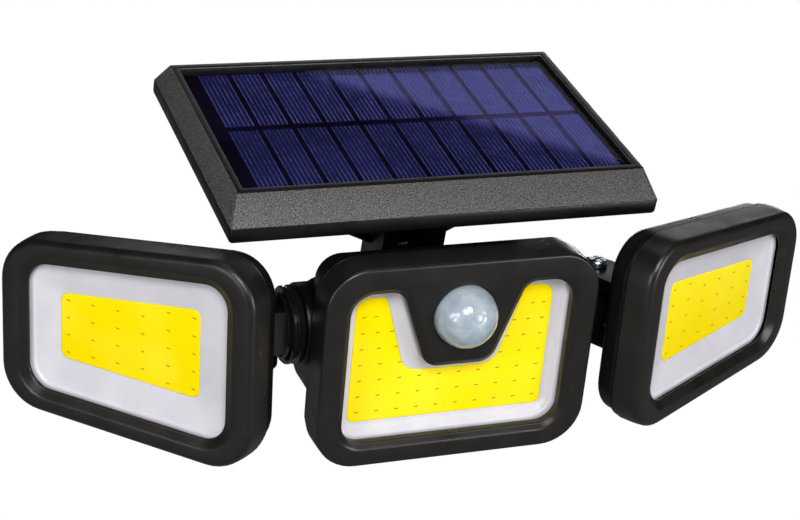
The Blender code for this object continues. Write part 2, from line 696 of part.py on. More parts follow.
def tier(inset, y):
    return rounded(corners_of(TIER_BOUNDS), TIER_R, inset), y


def build_rear_housing(parent):
    """Rear shell: rim, stepped tier with the screw holes, deep block with two side bosses, hinge tongue."""
    outline = centre_outline()
    seam = CENTRE_SEAM_Y + GAP
    rim = seam + SEAM_RIM
    sections = [
        housing_cavity(HOUSING_BACK - WALL),
        housing_cavity(SHOULDER_Y - WALL),
        tier(WALL, SHOULDER_Y - WALL),
        tier(WALL, seam + 0.5),
    ]
    sections += shell_rim(outline, CENTRE_R, seam, GROOVE_DEEP)[::-1]
    sections += [
        (rounded(outline, CENTRE_R, 0.4), seam),
        (rounded(outline, CENTRE_R, 0.4), rim),
        tier(0.0, rim),
        tier(0.0, SHOULDER_Y - TIER_EDGE),
        tier(TIER_EDGE, SHOULDER_Y),
        housing_block(0.0, SHOULDER_Y),
        housing_block(0.3, HOUSING_BACK - 4.0),
        housing_block(1.6, HOUSING_BACK - 1.2),
        housing_block(4.0, HOUSING_BACK),
    ]
    obj = piece("centre_rear_housing", stack(sections), "black_plastic", parent, lamp_place())
    bosses = bmesh.new()
    for side in SIDES.values():
        rod(BOSS_R, side * (HOUSING[0] - 3.0), side * BOSS_END, "x", ARM_AXIS, 24, bosses)
    combine(obj, "UNION", bosses)
    y, z = TILT_AXIS
    tongue = [Vector((y + p.y, z + p.x)) for p in stadium(HINGE_R, y - HOUSING_BACK + 3.0)]
    combine(obj, "UNION", prism(tongue, -TONGUE_HALF, TONGUE_HALF, "YZ"))
    combine(obj, "DIFFERENCE", rod(ARM_HOLE_R, -60.0, 60.0, "x", ARM_AXIS, 24))
    combine(obj, "DIFFERENCE", rod(TILT_HOLE_R, -12.0, 12.0, "x", TILT_AXIS))
    bottom = HOUSING[1]
    combine(obj, "DIFFERENCE", rod(BUTTON_R + GAP, bottom - 2.0, bottom + 6.0, "z", (0.0, BUTTON_Y)))
    holes = bmesh.new()
    for x, z in CASE_SCREWS:
        rod(SCREW_HOLE_R, seam - 1.0, SHOULDER_Y + 2.0, "y", (x, z), 12, holes)
    combine(obj, "DIFFERENCE", holes)


def build_sensor(parent):
    """Hollow lens dome with a flange behind the face, and the sensor can inside it."""
    place = (0.0, -TILT_AXIS[0], PIR_Z - TILT_AXIS[1])
    steps = 4
    arc = [math.pi / 2.0 * k / steps for k in range(1, steps)]
    foot, ledge = DOME_FOOT
    rim, inner = -FACE_Y, PIR_R - DOME_WALL
    profile = [(DOME_FLANGE_R, foot), (DOME_FLANGE_R, ledge), (PIR_R, ledge), (PIR_R, rim)]
    profile += [(PIR_R * math.cos(t), rim + PIR_R * math.sin(t)) for t in arc]
    profile += [(0.0, rim + PIR_R), (0.0, rim + inner)]
    profile += [(inner * math.cos(t), rim + inner * math.sin(t)) for t in arc[::-1]]
    profile += [(inner, rim), (inner, foot)]
    shape = turned(revolve(profile, 20), (0.0, -1.0, 0.0))
    piece("pir_lens", shape, "milky_lens", parent, place)
    can = [(0.0, SENSOR_CAN[0][1])] + SENSOR_CAN + [(0.0, SENSOR_CAN[-1][1])]
    piece("pir_sensor", turned(revolve(can, 16), (0.0, -1.0, 0.0)), "steel", parent, place)


def build_control_board(parent):
    """Circuit board behind the centre light, with the switch that the mode button presses."""
    low, high = CONTROL_Y
    shape = prism(rectangle(CONTROL_BOARD, 2.0), low, high, "XZ")
    obj = piece("control_board", shape, "circuit_board", parent, lamp_place())
    switch = rectangle(SWITCH, 0.5)
    combine(obj, "UNION", prism(switch, high - 0.6, BUTTON_Y + 2.5, "XZ"))


def build_mode_button(parent):
    """Push button under the rear housing, with a collar inside; it travels upwards."""
    low = HOUSING[1]
    overhang, collar, top = BUTTON_COLLAR
    profile = [(0.0, -BUTTON_OUT), (BUTTON_R - 0.8, -BUTTON_OUT), (BUTTON_R, 0.6 - BUTTON_OUT)]
    profile += [(BUTTON_R, collar), (BUTTON_R + overhang, collar), (BUTTON_R + overhang, top)]
    profile += [(STEM_R, top), (STEM_R, STEM_TOP), (0.0, STEM_TOP)]
    slide = empty("mode_button_slide", (0.0, BUTTON_Y - TILT_AXIS[0], low - TILT_AXIS[1]), parent)
    piece("mode_button", revolve(profile), "silicone", slide)


def build_centre_lamp(parent):
    build_centre_bezel(parent)
    frame = empty("centre_lamp", lamp_place(), parent)
    seal("centre_gasket", centre_outline(), CENTRE_R, CENTRE_SEAM_Y, 0.0, frame)
    light_stack("centre", CENTRE_WINDOW, CENTRE_WINDOW_R, CENTRE_LIGHT, CENTRE_LIGHT_R, 0.0, frame)
    build_rear_housing(parent)
    build_sensor(parent)
    build_control_board(parent)
    build_mode_button(parent)
    for number, (x, z) in enumerate(CASE_SCREWS, 1):
        shape = small_screw(*CENTRE_CASE_SCREW)
        place = (x, SHOULDER_Y + GAP, z)
        piece(f"centre_case_screw_{number}", shape, "steel", frame, place, (-90.0, 0.0, 0.0))


# Arms and side heads --------------------------------------------------------------------------
def build_arm(side, parent):
    """Arm along X in a frame on the pivot: shaft, flange, neck and the tongue between the head's ears."""
    sign = SIDES[side]
    start = BOSS_END + GAP - KNUCKLE_X
    end, edge = start + ARM_FLANGE, 0.7
    profile = [(0.0, ARM_SHAFT_END), (ARM_SHAFT_R, ARM_SHAFT_END), (ARM_SHAFT_R, start)]
    profile += [(ARM_FLANGE_R - edge, start), (ARM_FLANGE_R, start + edge), (ARM_FLANGE_R, end - edge)]
    profile += [(ARM_FLANGE_R - edge, end), (ARM_NECK_R, end), (ARM_NECK_R, ARM_NECK_END), (0.0, ARM_NECK_END)]
    shape = turned(revolve(profile, 24), (1.0, 0.0, 0.0))
    obj = piece(f"{side}_arm", shape, "black_plastic", parent, side=sign)
    steps = 12
    arc = [-math.pi / 2.0 + math.pi * k / steps for k in range(steps + 1)]
    tongue = [Vector((ARM_TONGUE_R * math.cos(t), ARM_TONGUE_R * math.sin(t))) for t in arc]
    root = ARM_NECK_END - 0.6
    tongue += [Vector((root, ARM_TONGUE_R)), Vector((root, -ARM_TONGUE_R))]
    combine(obj, "UNION", prism(tongue, -EAR_IN + GAP, EAR_IN - GAP, "XY"), sign)
    combine(obj, "DIFFERENCE", rod(HINGE_HOLE_R, -12.0, 12.0, "z"), sign)
    combine(obj, "DIFFERENCE", rod(HINGE_HOLE_R, ARM_SHAFT_END - 1.4, ARM_SHAFT_END + 8.6, "x"), sign)
    radius, thick = ARM_WASHER
    ring = [(radius, 0.0), (radius, thick), (HINGE_HOLE_R, thick), (HINGE_HOLE_R, 0.0)]
    inner = ARM_SHAFT_END - GAP - thick
    washer = turned(revolve(ring, 24), (1.0, 0.0, 0.0), (inner, 0.0, 0.0))
    piece(f"{side}_arm_washer", washer, "steel", parent, side=sign)
    place = (sign * (inner - GAP), 0.0, 0.0)
    shape = small_screw(*ARM_SCREW)
    piece(f"{side}_arm_screw", shape, "steel", parent, place, (0.0, -90.0 * sign, 0.0))


def build_head_bezel(side, parent):
    sign = SIDES[side]
    y = HEAD_LIGHT_Y
    sections = [
        (rounded(HEAD_OUTLINE, HEAD_R, 2.6), HEAD_FACE_Y),
        (rounded(HEAD_OUTLINE, HEAD_R, 1.2), HEAD_FACE_Y + 0.7),
        (rounded(HEAD_OUTLINE, HEAD_R, 0.5), HEAD_FACE_Y + 2.4),
        (rounded(HEAD_OUTLINE, HEAD_R, 0.0), HEAD_SEAM_Y - 2.0),
        (rounded(HEAD_OUTLINE, HEAD_R, 0.0), HEAD_SEAM_Y),
    ]
    sections += shell_rim(HEAD_OUTLINE, HEAD_R, HEAD_SEAM_Y, -GROOVE_DEEP)
    sections += [
        (rounded(HEAD_OUTLINE, HEAD_R, WALL + 0.6), LIP_BACK_Y + 1.3),
        (rounded(HEAD_WINDOW, HEAD_WINDOW_R, -2.6), LIP_BACK_Y + 1.3),
        (rounded(HEAD_WINDOW, HEAD_WINDOW_R, -2.6), LIP_BACK_Y + 0.9),
        (rounded(HEAD_WINDOW, HEAD_WINDOW_R), LIP_BACK_Y + 0.9),
        (rounded(HEAD_WINDOW, HEAD_WINDOW_R), HEAD_LIP_Y),
        (rounded(HEAD_WINDOW, HEAD_WINDOW_R, -HEAD_SLOPE), HEAD_FACE_Y),
    ]
    return piece(f"{side}_bezel", stack(shifted(sections, y), ring=True), "black_plastic", parent, side=sign)


def build_rear_shell(side, parent):
    sign = SIDES[side]
    y = HEAD_LIGHT_Y
    seam = HEAD_SEAM_Y + GAP
    rim = seam + SEAM_RIM
    sections = [
        (rounded(HEAD_OUTLINE, HEAD_R, 6.5), HEAD_BACK_Y - WALL),
        (rounded(HEAD_OUTLINE, HEAD_R, 4.2), HEAD_BACK_Y - WALL - 2.5),
        (rounded(HEAD_OUTLINE, HEAD_R, 3.9), seam + 1.0),
    ]
    sections += shell_rim(HEAD_OUTLINE, HEAD_R, seam, GROOVE_DEEP)[::-1]
    sections += [
        (rounded(HEAD_OUTLINE, HEAD_R, 0.4), seam),
        (rounded(HEAD_OUTLINE, HEAD_R, 0.4), rim),
        (rounded(HEAD_OUTLINE, HEAD_R, 1.6), rim),
        (rounded(HEAD_OUTLINE, HEAD_R, 1.8), HEAD_BACK_Y - 4.0),
        (rounded(HEAD_OUTLINE, HEAD_R, 2.6), HEAD_BACK_Y - 1.4),
        (rounded(HEAD_OUTLINE, HEAD_R, 5.5), HEAD_BACK_Y),
    ]
    obj = piece(f"{side}_rear_shell", stack(shifted(sections, y)), "black_plastic", parent, side=sign)
    back = HEAD_BACK_Y + y
    ears = bmesh.new()
    for low, high in ((EAR_IN, EAR_TOP), (EAR_BOTTOM, -EAR_IN)):
        prism(stadium(EAR_R, 1.0 - back), low, high, "XY", ears)
    combine(obj, "UNION", ears, sign)
    combine(obj, "DIFFERENCE", rod(HINGE_HOLE_R, EAR_BOTTOM - 1.0, EAR_TOP + 1.0, "z"), sign)
    holes = bmesh.new()
    for x, z in HEAD_SCREWS:
        rod(SCREW_HOLE_R, back - WALL - 1.0, back + 1.0, "y", (x, z), 12, holes)
    combine(obj, "DIFFERENCE", holes, sign)


def build_head_screws(side, parent):
    sign = SIDES[side]
    back = HEAD_BACK_Y + HEAD_LIGHT_Y
    for number, (x, z) in enumerate(HEAD_SCREWS, 1):
        shape = small_screw(*HEAD_CASE_SCREW)
        place = (sign * x, back + GAP, z)
        piece(f"{side}_case_screw_{number}", shape, "steel", parent, place, (-90.0, 0.0, 0.0))
    size, thick = HINGE_NUT
    shape = cross_screw(*HINGE_SCREW, EAR_TOP - EAR_BOTTOM + thick + 0.4)
    piece(f"{side}_hinge_screw", shape, "steel", parent, (0.0, 0.0, EAR_TOP + GAP))
    nut = prism(circle((0.0, 0.0), size, 6), EAR_BOTTOM - GAP - thick, EAR_BOTTOM - GAP, "XY")
    obj = piece(f"{side}_hinge_nut", nut, "steel", parent)
    combine(obj, "DIFFERENCE", rod(HINGE_HOLE_R, EAR_BOTTOM - 5.0, EAR_BOTTOM + 1.0, "z"))


def build_head(side, parent):
    sign = SIDES[side]
    build_head_bezel(side, parent)
    seal(f"{side}_gasket", HEAD_OUTLINE, HEAD_R, HEAD_SEAM_Y, HEAD_LIGHT_Y, parent, sign)
    light = (HEAD_LIGHT, HEAD_LIGHT_R, HEAD_LIGHT_Y + 0.9, parent, sign)
    light_stack(side, HEAD_WINDOW, HEAD_WINDOW_R, *light)
    build_rear_shell(side, parent)
    build_head_screws(side, parent)


def build_side(side, lamp):
    """Swivel frame on the arm axis, yaw frame on the pivot, then the arm and its head."""
    sign = SIDES[side]
    place = (sign * KNUCKLE_X, ARM_AXIS[0] - TILT_AXIS[0], ARM_AXIS[1] - TILT_AXIS[1])
    swivel = empty(f"{side}_arm_swivel", place, lamp, (ARM_REST[side], 0.0, 0.0))
    build_arm(side, swivel)
    yaw = empty(f"{side}_head_yaw", (0.0, 0.0, 0.0), swivel, (0.0, 0.0, sign * YAW_REST[side]))
    build_head(side, yaw)


def build():
    clear_scene()
    wall = empty("wall_frame", (0.0, 0.0, 0.0))
    build_wall_bracket(wall)
    panel = empty("panel_slope", PANEL_ORIGIN, wall, (PANEL_SLOPE, 0.0, 0.0))
    build_panel_frame(panel)
    build_panel_stack(panel)
    build_panel_gasket(panel)
    build_back_cover(panel)
    build_battery(panel)
    build_tilt_bolt(panel)
    build_panel_screws(panel)
    axis = (0.0, LAMP_ORIGIN[1] + TILT_AXIS[0], LAMP_ORIGIN[2] + TILT_AXIS[1])
    lamp = empty("lamp_tilt", axis, wall)
    build_centre_lamp(lamp)
    for side in SIDES:
        build_side(side, lamp)


build()
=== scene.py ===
import json
import math

import bmesh
import bpy
from mathutils import Matrix, Vector


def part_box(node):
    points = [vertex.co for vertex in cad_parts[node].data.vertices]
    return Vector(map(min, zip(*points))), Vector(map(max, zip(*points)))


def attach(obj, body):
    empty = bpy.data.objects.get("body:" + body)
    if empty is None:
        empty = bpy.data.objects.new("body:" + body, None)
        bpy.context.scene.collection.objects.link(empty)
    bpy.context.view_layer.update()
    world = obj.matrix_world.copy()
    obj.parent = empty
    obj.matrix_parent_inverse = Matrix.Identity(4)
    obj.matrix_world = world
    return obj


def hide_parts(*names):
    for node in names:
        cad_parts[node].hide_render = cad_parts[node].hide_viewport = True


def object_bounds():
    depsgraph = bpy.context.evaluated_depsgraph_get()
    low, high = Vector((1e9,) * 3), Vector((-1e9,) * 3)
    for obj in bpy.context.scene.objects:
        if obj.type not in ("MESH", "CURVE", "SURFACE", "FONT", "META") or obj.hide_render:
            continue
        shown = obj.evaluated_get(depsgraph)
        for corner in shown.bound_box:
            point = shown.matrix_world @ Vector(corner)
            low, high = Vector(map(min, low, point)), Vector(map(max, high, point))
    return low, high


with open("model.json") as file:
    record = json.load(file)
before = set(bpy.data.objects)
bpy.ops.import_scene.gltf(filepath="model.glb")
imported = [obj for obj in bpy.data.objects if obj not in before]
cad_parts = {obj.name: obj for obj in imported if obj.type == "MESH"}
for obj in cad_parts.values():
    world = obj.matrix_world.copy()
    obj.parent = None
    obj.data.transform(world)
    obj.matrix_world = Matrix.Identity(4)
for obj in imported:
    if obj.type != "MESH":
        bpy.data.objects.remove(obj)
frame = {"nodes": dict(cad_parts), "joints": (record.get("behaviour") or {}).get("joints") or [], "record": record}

# The looks of a three-head solar flood light. Lengths are millimetres, in a mesh or a place metres.
MM = 0.001
CAD_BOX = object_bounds()
JOINTS = {joint["name"]: joint for joint in frame["joints"]}
SLOTS = {row["node"]: row["material_slot"] for row in frame["record"]["subparts"]}

CORNER_STEPS = 10  # straight steps round a shell's corner
ROUND_STEPS = 40
GAP = 0.3  # clearance between pieces that touch in the real lamp
SHARP_ANGLE = 33.0  # degrees between faces above which an edge is drawn sharp

# Solar panel, in the panel frame: x, y back along the slope, z along its normal
PANEL_SLOPE = 9.0
PANEL_TOP = (-78.2, 78.2, 0.0, 92.0)
PANEL_TOP_R = 0.8
PANEL_BASE = (-82.2, 82.2, -9.0, 98.5)
PANEL_BASE_R = 1.6
BEVEL_DROP = 9.0
PANEL_DEPTH = 15.0
LIP_WIDTH = 3.0
LIP_DROP = 1.6
GLASS_THICK = 2.0
APPARENT_DEPTH = 1.3  # how deep the cells look below the glass's surface
FRAME_WALL = 2.5
LEDGE_DROP = 4.0  # from the glass's top to the ledge that it rests on
LEDGE_WIDTH = 4.0
LEDGE_THICK = 1.6
CELL_ROWS = 2
CELL_COLUMNS = 11
CELL_MARGINS = (-68.2, 73.3, 7.0, 87.9)
ROW_GAP = 3.2
COLUMN_GAP = 1.75
FINGERS = 7  # silver lines on each cell
FINGER_HALF = 0.13

# Lamp shells: y is measured from the light surface, front negative
FACE_Y = -8.5
SEAM_RIM = 1.8  # thickness of a rear shell's rim
WALL = 2.5
LIP_SOFT = 0.15  # how far before its full depth a recess's slope gives way to the rounded lip
LINE_IN = 0.45  # how far a rear shell's rim stands in from the front shell
WINDOW_Y = (-4.0, -2.8)
TRAY_FRONT = -2.5
TRAY_BACK = 1.6
PHOSPHOR_BACK = 1.3
SIDES = {"left": -1.0, "right": 1.0}
YAW_REST = {"left": 45.7, "right": 26.2}

# Centre lamp
CENTRE_BOUNDS = (-52.5, 52.5, -39.8, 38.5)
CENTRE_R = 16.0
CENTRE_LIP_Y = -7.0
CENTRE_INNER_Y = -4.2  # inner face of the front shell
PIR_Z = 17.5
PIR_R = 11.6
PIR_WALL = 1.0
FACET_RINGS = (6, 11, 15, 18)  # lens facets in each ring round the one on top
FACET_TILT = 21.0  # degrees from ring to ring
FACET_SEAM = 0.18  # radians over which a facet falls to its seam
FACET_DEPTH = 0.16
HOUSING = (48.2, -28.1, 17.5)  # half width, bottom and top of the rear block
HOUSING_R = [12.0, 12.0, 9.0, 9.0]
CAVITY_R = [8.0, 8.0, 3.0, 3.0]
HOUSING_BACK = 36.0
SIDE_WALL = 4.0
CENTRE_SEAM_Y = 3.5
TIER_BOUNDS = (-49.5, 49.5, -36.8, 35.5)
TIER_R = 9.0
SHOULDER_Y = 13.5
ARM_AXIS = (23.0, 3.7)
ARM_HOLE_R = 8.3
TILT_AXIS = (54.6, 7.9)
TILT_HOLE_R = 2.8
BOSS_R = 15.0
BOSS_START = 43.0
BOSS_END = 51.9
TONGUE_HALF = 6.0
HINGE_R = 9.5
BUTTON_Y = 18.0
BUTTON_R = 4.0
CASE_SCREWS = [(-44.0, -31.4), (44.0, -31.4), (-44.0, 30.1), (44.0, 30.1)]
CASE_SCREW = (2.7, 1.8, 1.2, 12.5)  # head radius and height, shank radius and length
SCREW_HOLE_R = 1.8
CENTRE_DOTS = (7.704, 6.32)  # spacing of the light chips across and up
CENTRE_DOT_LOW = -22.1
CENTRE_MARK = 1.4
MARK_HALF = 0.3

# Side heads, in the head frame: origin on the pivot, x outwards
HEAD_LIGHT_Y = -33.5
HEAD_OUTLINE = [(-22.0, -39.4), (80.0, -31.2), (80.0, 31.2), (-22.0, 39.4)]
HEAD_R = 17.0
HEAD_WINDOW = [(-10.5, -28.6), (68.7, -22.7), (68.7, 22.7), (-10.5, 28.6)]
HEAD_WINDOW_R = 8.5
HEAD_LIGHT = [(2.6, -16.3), (58.4, -12.0), (58.4, 12.0), (2.6, 16.3)]
HEAD_LIGHT_R = 3.0
HEAD_FACE_Y = -6.0
HEAD_LIP_Y = -4.2
HEAD_INNER_Y = -3.0
HEAD_SEAM_Y = 5.0
HEAD_BACK_Y = 14.5
HEAD_DOTS = (10.115, 6.5)
HEAD_DOT_START = 4.83
HEAD_MARK = 1.3
EAR_R = 9.5
EAR_IN = 8.3
EAR_TOP = 13.0
EAR_BOTTOM = -14.0
HEAD_SCREWS = [(-13.5, 0.0), (72.7, 0.0)]
HEAD_SCREW = (2.7, 1.8, 1.2, 7.5)
HINGE_SCREW = (3.9, 2.9, 2.0)
HINGE_NUT = (7.6, 3.2, 2.3)  # across the flats, thickness and bore radius
HINGE_HOLE_R = 2.3
TONGUE_R = 8.6

# Camera and stage
CAMERA_LENS = 85.5
CAMERA_AZIMUTH = -23.504
CAMERA_ELEVATION = 24.228
CAMERA_ROLL = 5.623
CAMERA_TARGET = (-23.4, -120.0, 9.2)
CAMERA_DISTANCE = 658.5
FLOOR_DROP = 90.0
FLOOR_HALF = 6000.0
SKY_TURN = (-0.2, -0.9)  # where along y the sky starts to brighten and is at its brightest
SKY_LIGHT = (0.02, 0.16)
LIGHT_TARGET = (0.0, -0.12, 0.0)
LIGHTS = {  # place and size in metres, power in watts
    "key": ((-0.35, -1.2, 1.0), (0.6, 0.5), 17.0),
    "left": ((-1.4, -0.9, 0.3), (0.5, 0.7), 8.0),
    "fill": ((1.0, -1.5, 0.3), (0.7, 0.7), 12.0),
    "top": ((0.0, 0.1, 1.6), (1.0, 0.8), 2.5),
    "rear": ((0.8, 1.3, -0.3), (0.9, 0.5), 16.0),
}
GLARE_EDGE = [(-27.0, 87.7), (73.0, 7.6)]  # where the card's edge shows on the cells, panel frame
GLARE_SIDE = (75.0, 90.0)  # a point of the cells that mirrors the card itself
CARD_DISTANCE = 900.0
CARD_SIZE = 900.0
CARD_OVERRUN = 500.0


# --- Places
def lamp_frame():
    """The lamp frame's origin, on the plane of the centre lamp's light surface."""
    low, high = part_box("centre_bezel")
    return Matrix.Translation((0.0, low.y - FACE_Y * MM, high.z - CENTRE_BOUNDS[3] * MM))


def panel_frame():
    """The panel frame: on the glass's front edge, less the lip and the drop to the glass."""
    slope = math.radians(PANEL_SLOPE)
    low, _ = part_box("panel_glass")
    edge, top = (LIP_WIDTH + GAP) * MM, -LIP_DROP * MM
    bottom = top - GLASS_THICK * MM
    y = low.y - edge * math.cos(slope) + top * math.sin(slope)
    z = low.z - edge * math.sin(slope) - bottom * math.cos(slope)
    return Matrix.Translation((0.0, y, z)) @ Matrix.Rotation(slope, 4, "X")


def arm_frame(side):
    """Origin on the pivot, tilted with the arm's rest angle, which the yaw axis shows."""
    joint = JOINTS[f"{side}_head_yaw"]
    axis = Vector(joint["axis"]) * SIDES[side]
    swivel = math.atan2(-axis.y, axis.z)
    return Matrix.Translation(Vector(joint["pos_m"])) @ Matrix.Rotation(swivel, 4, "X")


def head_frame(side):
    turn = math.radians(YAW_REST[side]) * SIDES[side]
    return arm_frame(side) @ Matrix.Rotation(turn, 4, "Z")


# --- Materials
class Nodes:
    """A material's node tree with short calls for what the materials here share."""

    def __init__(self, name):
        self.material = bpy.data.materials.new(name)
        self.material.use_nodes = True
        self.tree = self.material.node_tree
        self.shader = self.tree.nodes["Principled BSDF"]
        self.output = self.tree.nodes["Material Output"]
        self.place = self.new("ShaderNodeTexCoord").outputs["Object"]

    def new(self, kind, **values):
        node = self.tree.nodes.new(kind)
        for key, value in values.items():
            setattr(node, key, value)
        return node

    def link(self, start, end):
        self.tree.links.new(start, end)

    def set(self, **values):
        for key, value in values.items():
            self.shader.inputs[key.replace("_", " ")].default_value = value

    def noise(self, size, detail=2.0, stretch=None):
        """Noise with features of about size millimetres."""
        node = self.new("ShaderNodeTexNoise")
        node.inputs["Scale"].default_value = 1.0 / (size * MM)
        node.inputs["Detail"].default_value = detail
        source = self.place
        if stretch:
            scale = self.new("ShaderNodeVectorMath", operation="MULTIPLY")
            scale.inputs[1].default_value = stretch
            self.link(source, scale.inputs[0])
            source = scale.outputs[0]
        self.link(source, node.inputs["Vector"])
        return node.outputs["Fac"]

    def ramp(self, source, low, high, start=0.35, end=0.65):
        """Colours or greys from low to high as source goes from start to end."""
        node = self.new("ShaderNodeValToRGB")
        for element, value, place in zip(node.color_ramp.elements, (low, high), (start, end)):
            element.color = (*value, 1.0) if isinstance(value, tuple) else (value, value, value, 1.0)
            element.position = place
        self.link(source, node.inputs["Fac"])
        return node.outputs["Color"]

    def drive(self, name, source, low, high, start=0.35, end=0.65):
        """Let a ramp of source set one of the shader's inputs."""
        self.link(self.ramp(source, low, high, start, end), self.shader.inputs[name])

    def bump(self, source, depth):
        """Raise the surface by up to depth millimetres where source is high."""
        node = self.new("ShaderNodeBump")
        node.inputs["Distance"].default_value = depth * MM
        node.inputs["Strength"].default_value = 1.0
        self.link(source, node.inputs["Height"])
        self.link(node.outputs["Normal"], self.shader.inputs["Normal"])

    def math(self, operation, a, b=None):
        node = self.new("ShaderNodeMath", operation=operation)
        for slot, value in zip(node.inputs, (a, b)):
            if value is None:
                continue
            if isinstance(value, (int, float)):
                slot.default_value = value
            else:
                self.link(value, slot)
        return node.outputs[0]


def moulded_plastic(name, dark, light, rough, grain, depth, specular):
    """Black plastic from a spark-eroded mould: mottled colour, uneven gloss and a fine grain."""
    mat = Nodes(name)
    mat.set(Specular_IOR_Level=specular)
    mat.drive("Base Color", mat.noise(grain, 3.0), dark, light)
    mat.drive("Roughness", mat.noise(9.0), rough - 0.05, rough + 0.07)
    mat.bump(mat.noise(grain * 0.8, 1.0), depth)
    return mat.material


def surface(name, colour, gloss, grain=None, **settings):
    """Mottled colour and gloss, each from (noise size, low, high), and a grain from (size, depth)."""
    mat = Nodes(name)
    mat.set(**settings)
    mat.drive("Base Color", mat.noise(colour[0]), *colour[1:])
    mat.drive("Roughness", mat.noise(gloss[0]), *gloss[1:])
    if grain:
        mat.bump(mat.noise(grain[0]), grain[1])
    return mat.material


def phosphor_yellow():
    """Silicone with phosphor over the light chips: deep yellow, paler in soft patches, and a faint painted glow.
    """
    mat = Nodes("phosphor_yellow")
    # The emission in the pad's own colour is a faint glow of its own: painted light that brightens the pads
    mat.set(Specular_IOR_Level=0.03, Emission_Strength=0.1)
    tint = mat.ramp(mat.noise(30.0, 1.0), (0.95, 0.74, 0.0), (0.97, 0.80, 0.02), 0.4, 0.7)
    mat.link(tint, mat.shader.inputs["Base Color"])
    mat.link(tint, mat.shader.inputs["Emission Color"])
    mat.drive("Roughness", mat.noise(3.0), 0.35, 0.5)
    mat.bump(mat.noise(1.6), 0.03)
    return mat.material


def clear_sheet(name, tint, gloss, rough, ior):
    """Thin clear sheet: see-through, with the reflection that its angle gives and faint smudges."""
    mat = Nodes(name)
    clear = mat.new("ShaderNodeBsdfTransparent")
    clear.inputs["Color"].default_value = (*tint, 1.0)
    shine = mat.new("ShaderNodeBsdfGlossy")
    mat.link(mat.ramp(mat.noise(22.0), rough, rough * 1.8 + 0.01), shine.inputs["Roughness"])
    fresnel = mat.new("ShaderNodeFresnel")
    fresnel.inputs["IOR"].default_value = ior
    outer = mat.math("SUBTRACT", 1.0, mat.new("ShaderNodeNewGeometry").outputs["Backfacing"])
    amount = mat.math("MULTIPLY", mat.math("MULTIPLY", fresnel.outputs[0], gloss), outer)
    mix = mat.new("ShaderNodeMixShader")
    mat.link(amount, mix.inputs["Fac"])
    mat.link(clear.outputs[0], mix.inputs[1])
    mat.link(shine.outputs[0], mix.inputs[2])
    mat.link(mix.outputs[0], mat.output.inputs["Surface"])
    return mat.material


def tinted_sheen(name, dark, light, sheen, rough):
    """A dark coated surface that mirrors bright things faintly and in its own colour."""
    mat = Nodes(name)
    mat.set(Specular_IOR_Level=0.0)
    mat.drive("Base Color", mat.noise(30.0, 1.0), dark, light)
    mat.drive("Roughness", mat.noise(2.0), 0.4, 0.6)
    mirror = mat.new("ShaderNodeBsdfGlossy")
    mirror.inputs["Color"].default_value = (*sheen, 1.0)
    mirror.inputs["Roughness"].default_value = rough
    both = mat.new("ShaderNodeAddShader")
    mat.link(mat.shader.outputs[0], both.inputs[0])
    mat.link(mirror.outputs[0], both.inputs[1])
    mat.link(both.outputs[0], mat.output.inputs["Surface"])
    return mat.material


def zinc_steel():
    """Zinc plating: bluish silver with fine scratches along one direction."""
    mat = Nodes("zinc_steel")
    mat.set(Metallic=1.0)
    mat.drive("Base Color", mat.noise(1.5), (0.50, 0.55, 0.60), (0.74, 0.78, 0.82))
    scratches = mat.noise(0.4, 3.0, (1.0, 6.0, 1.0))
    mat.drive("Roughness", scratches, 0.16, 0.34)
    mat.bump(scratches, 0.008)
    return mat.material


PLASTICS = {  # dark and light colour, roughness, grain size and depth, specular level
    "face": ((0.007, 0.0058, 0.0053), (0.010, 0.0086, 0.008), 0.32, 0.5, 0.025, 0.45),
    "shell": ((0.003, 0.0026, 0.0024), (0.006, 0.0052, 0.005), 0.32, 0.6, 0.03, 0.25),
    "gloss": ((0.006, 0.006, 0.006), (0.010, 0.009, 0.009), 0.16, 0.8, 0.01, 0.6),
    # grain: the frame's own grain, in a grey well above the black, which stands for the soft light's sheen on the
    # bevel: a painted highlight
    "grain": ((0.026, 0.0235, 0.0235), (0.125, 0.116, 0.116), 0.36, 0.5, 0.22, 0.5),
}
WHITE = ((14.0, (0.66, 0.65, 0.71), (0.72, 0.71, 0.765)), (5.0, 0.28, 0.38), (0.7, 0.01))
MARK = ((1.0, (0.26, 0.19, 0.01), (0.42, 0.32, 0.015)), (1.0, 0.5, 0.5))
LENS = ((6.0, (0.36, 0.43, 0.50), (0.48, 0.54, 0.60)), (3.0, 0.16, 0.26))
SILVER = ((5.0, (0.10, 0.10, 0.30), (0.24, 0.24, 0.52)), (1.0, 0.3, 0.45))
SEAL = ((2.0, (0.02, 0.02, 0.02), (0.03, 0.03, 0.03)), (4.0, 0.6, 0.8), (0.5, 0.015))
BUTTON = ((2.0, (0.05, 0.05, 0.055), (0.075, 0.075, 0.0825)), (4.0, 0.6, 0.8), (0.5, 0.015))
BOARD = ((3.0, (0.015, 0.13, 0.05), (0.03, 0.22, 0.09)), (1.2, 0.35, 0.5))
WRAP = ((9.0, (0.05, 0.22, 0.45), (0.08, 0.30, 0.58)), (2.0, 0.3, 0.42))
MILKY = {"Subsurface_Weight": 0.6, "Subsurface_Scale": 0.004}
COAT = {"Coat_Weight": 0.5, "Coat_Roughness": 0.08}
CELL = ((0.007, 0.008, 0.045), (0.012, 0.0135, 0.075), (0.047, 0.048, 0.18), 0.04)
BACKING = ((0.003, 0.002, 0.006), (0.006, 0.004, 0.012), (0.022, 0.014, 0.062), 0.05)
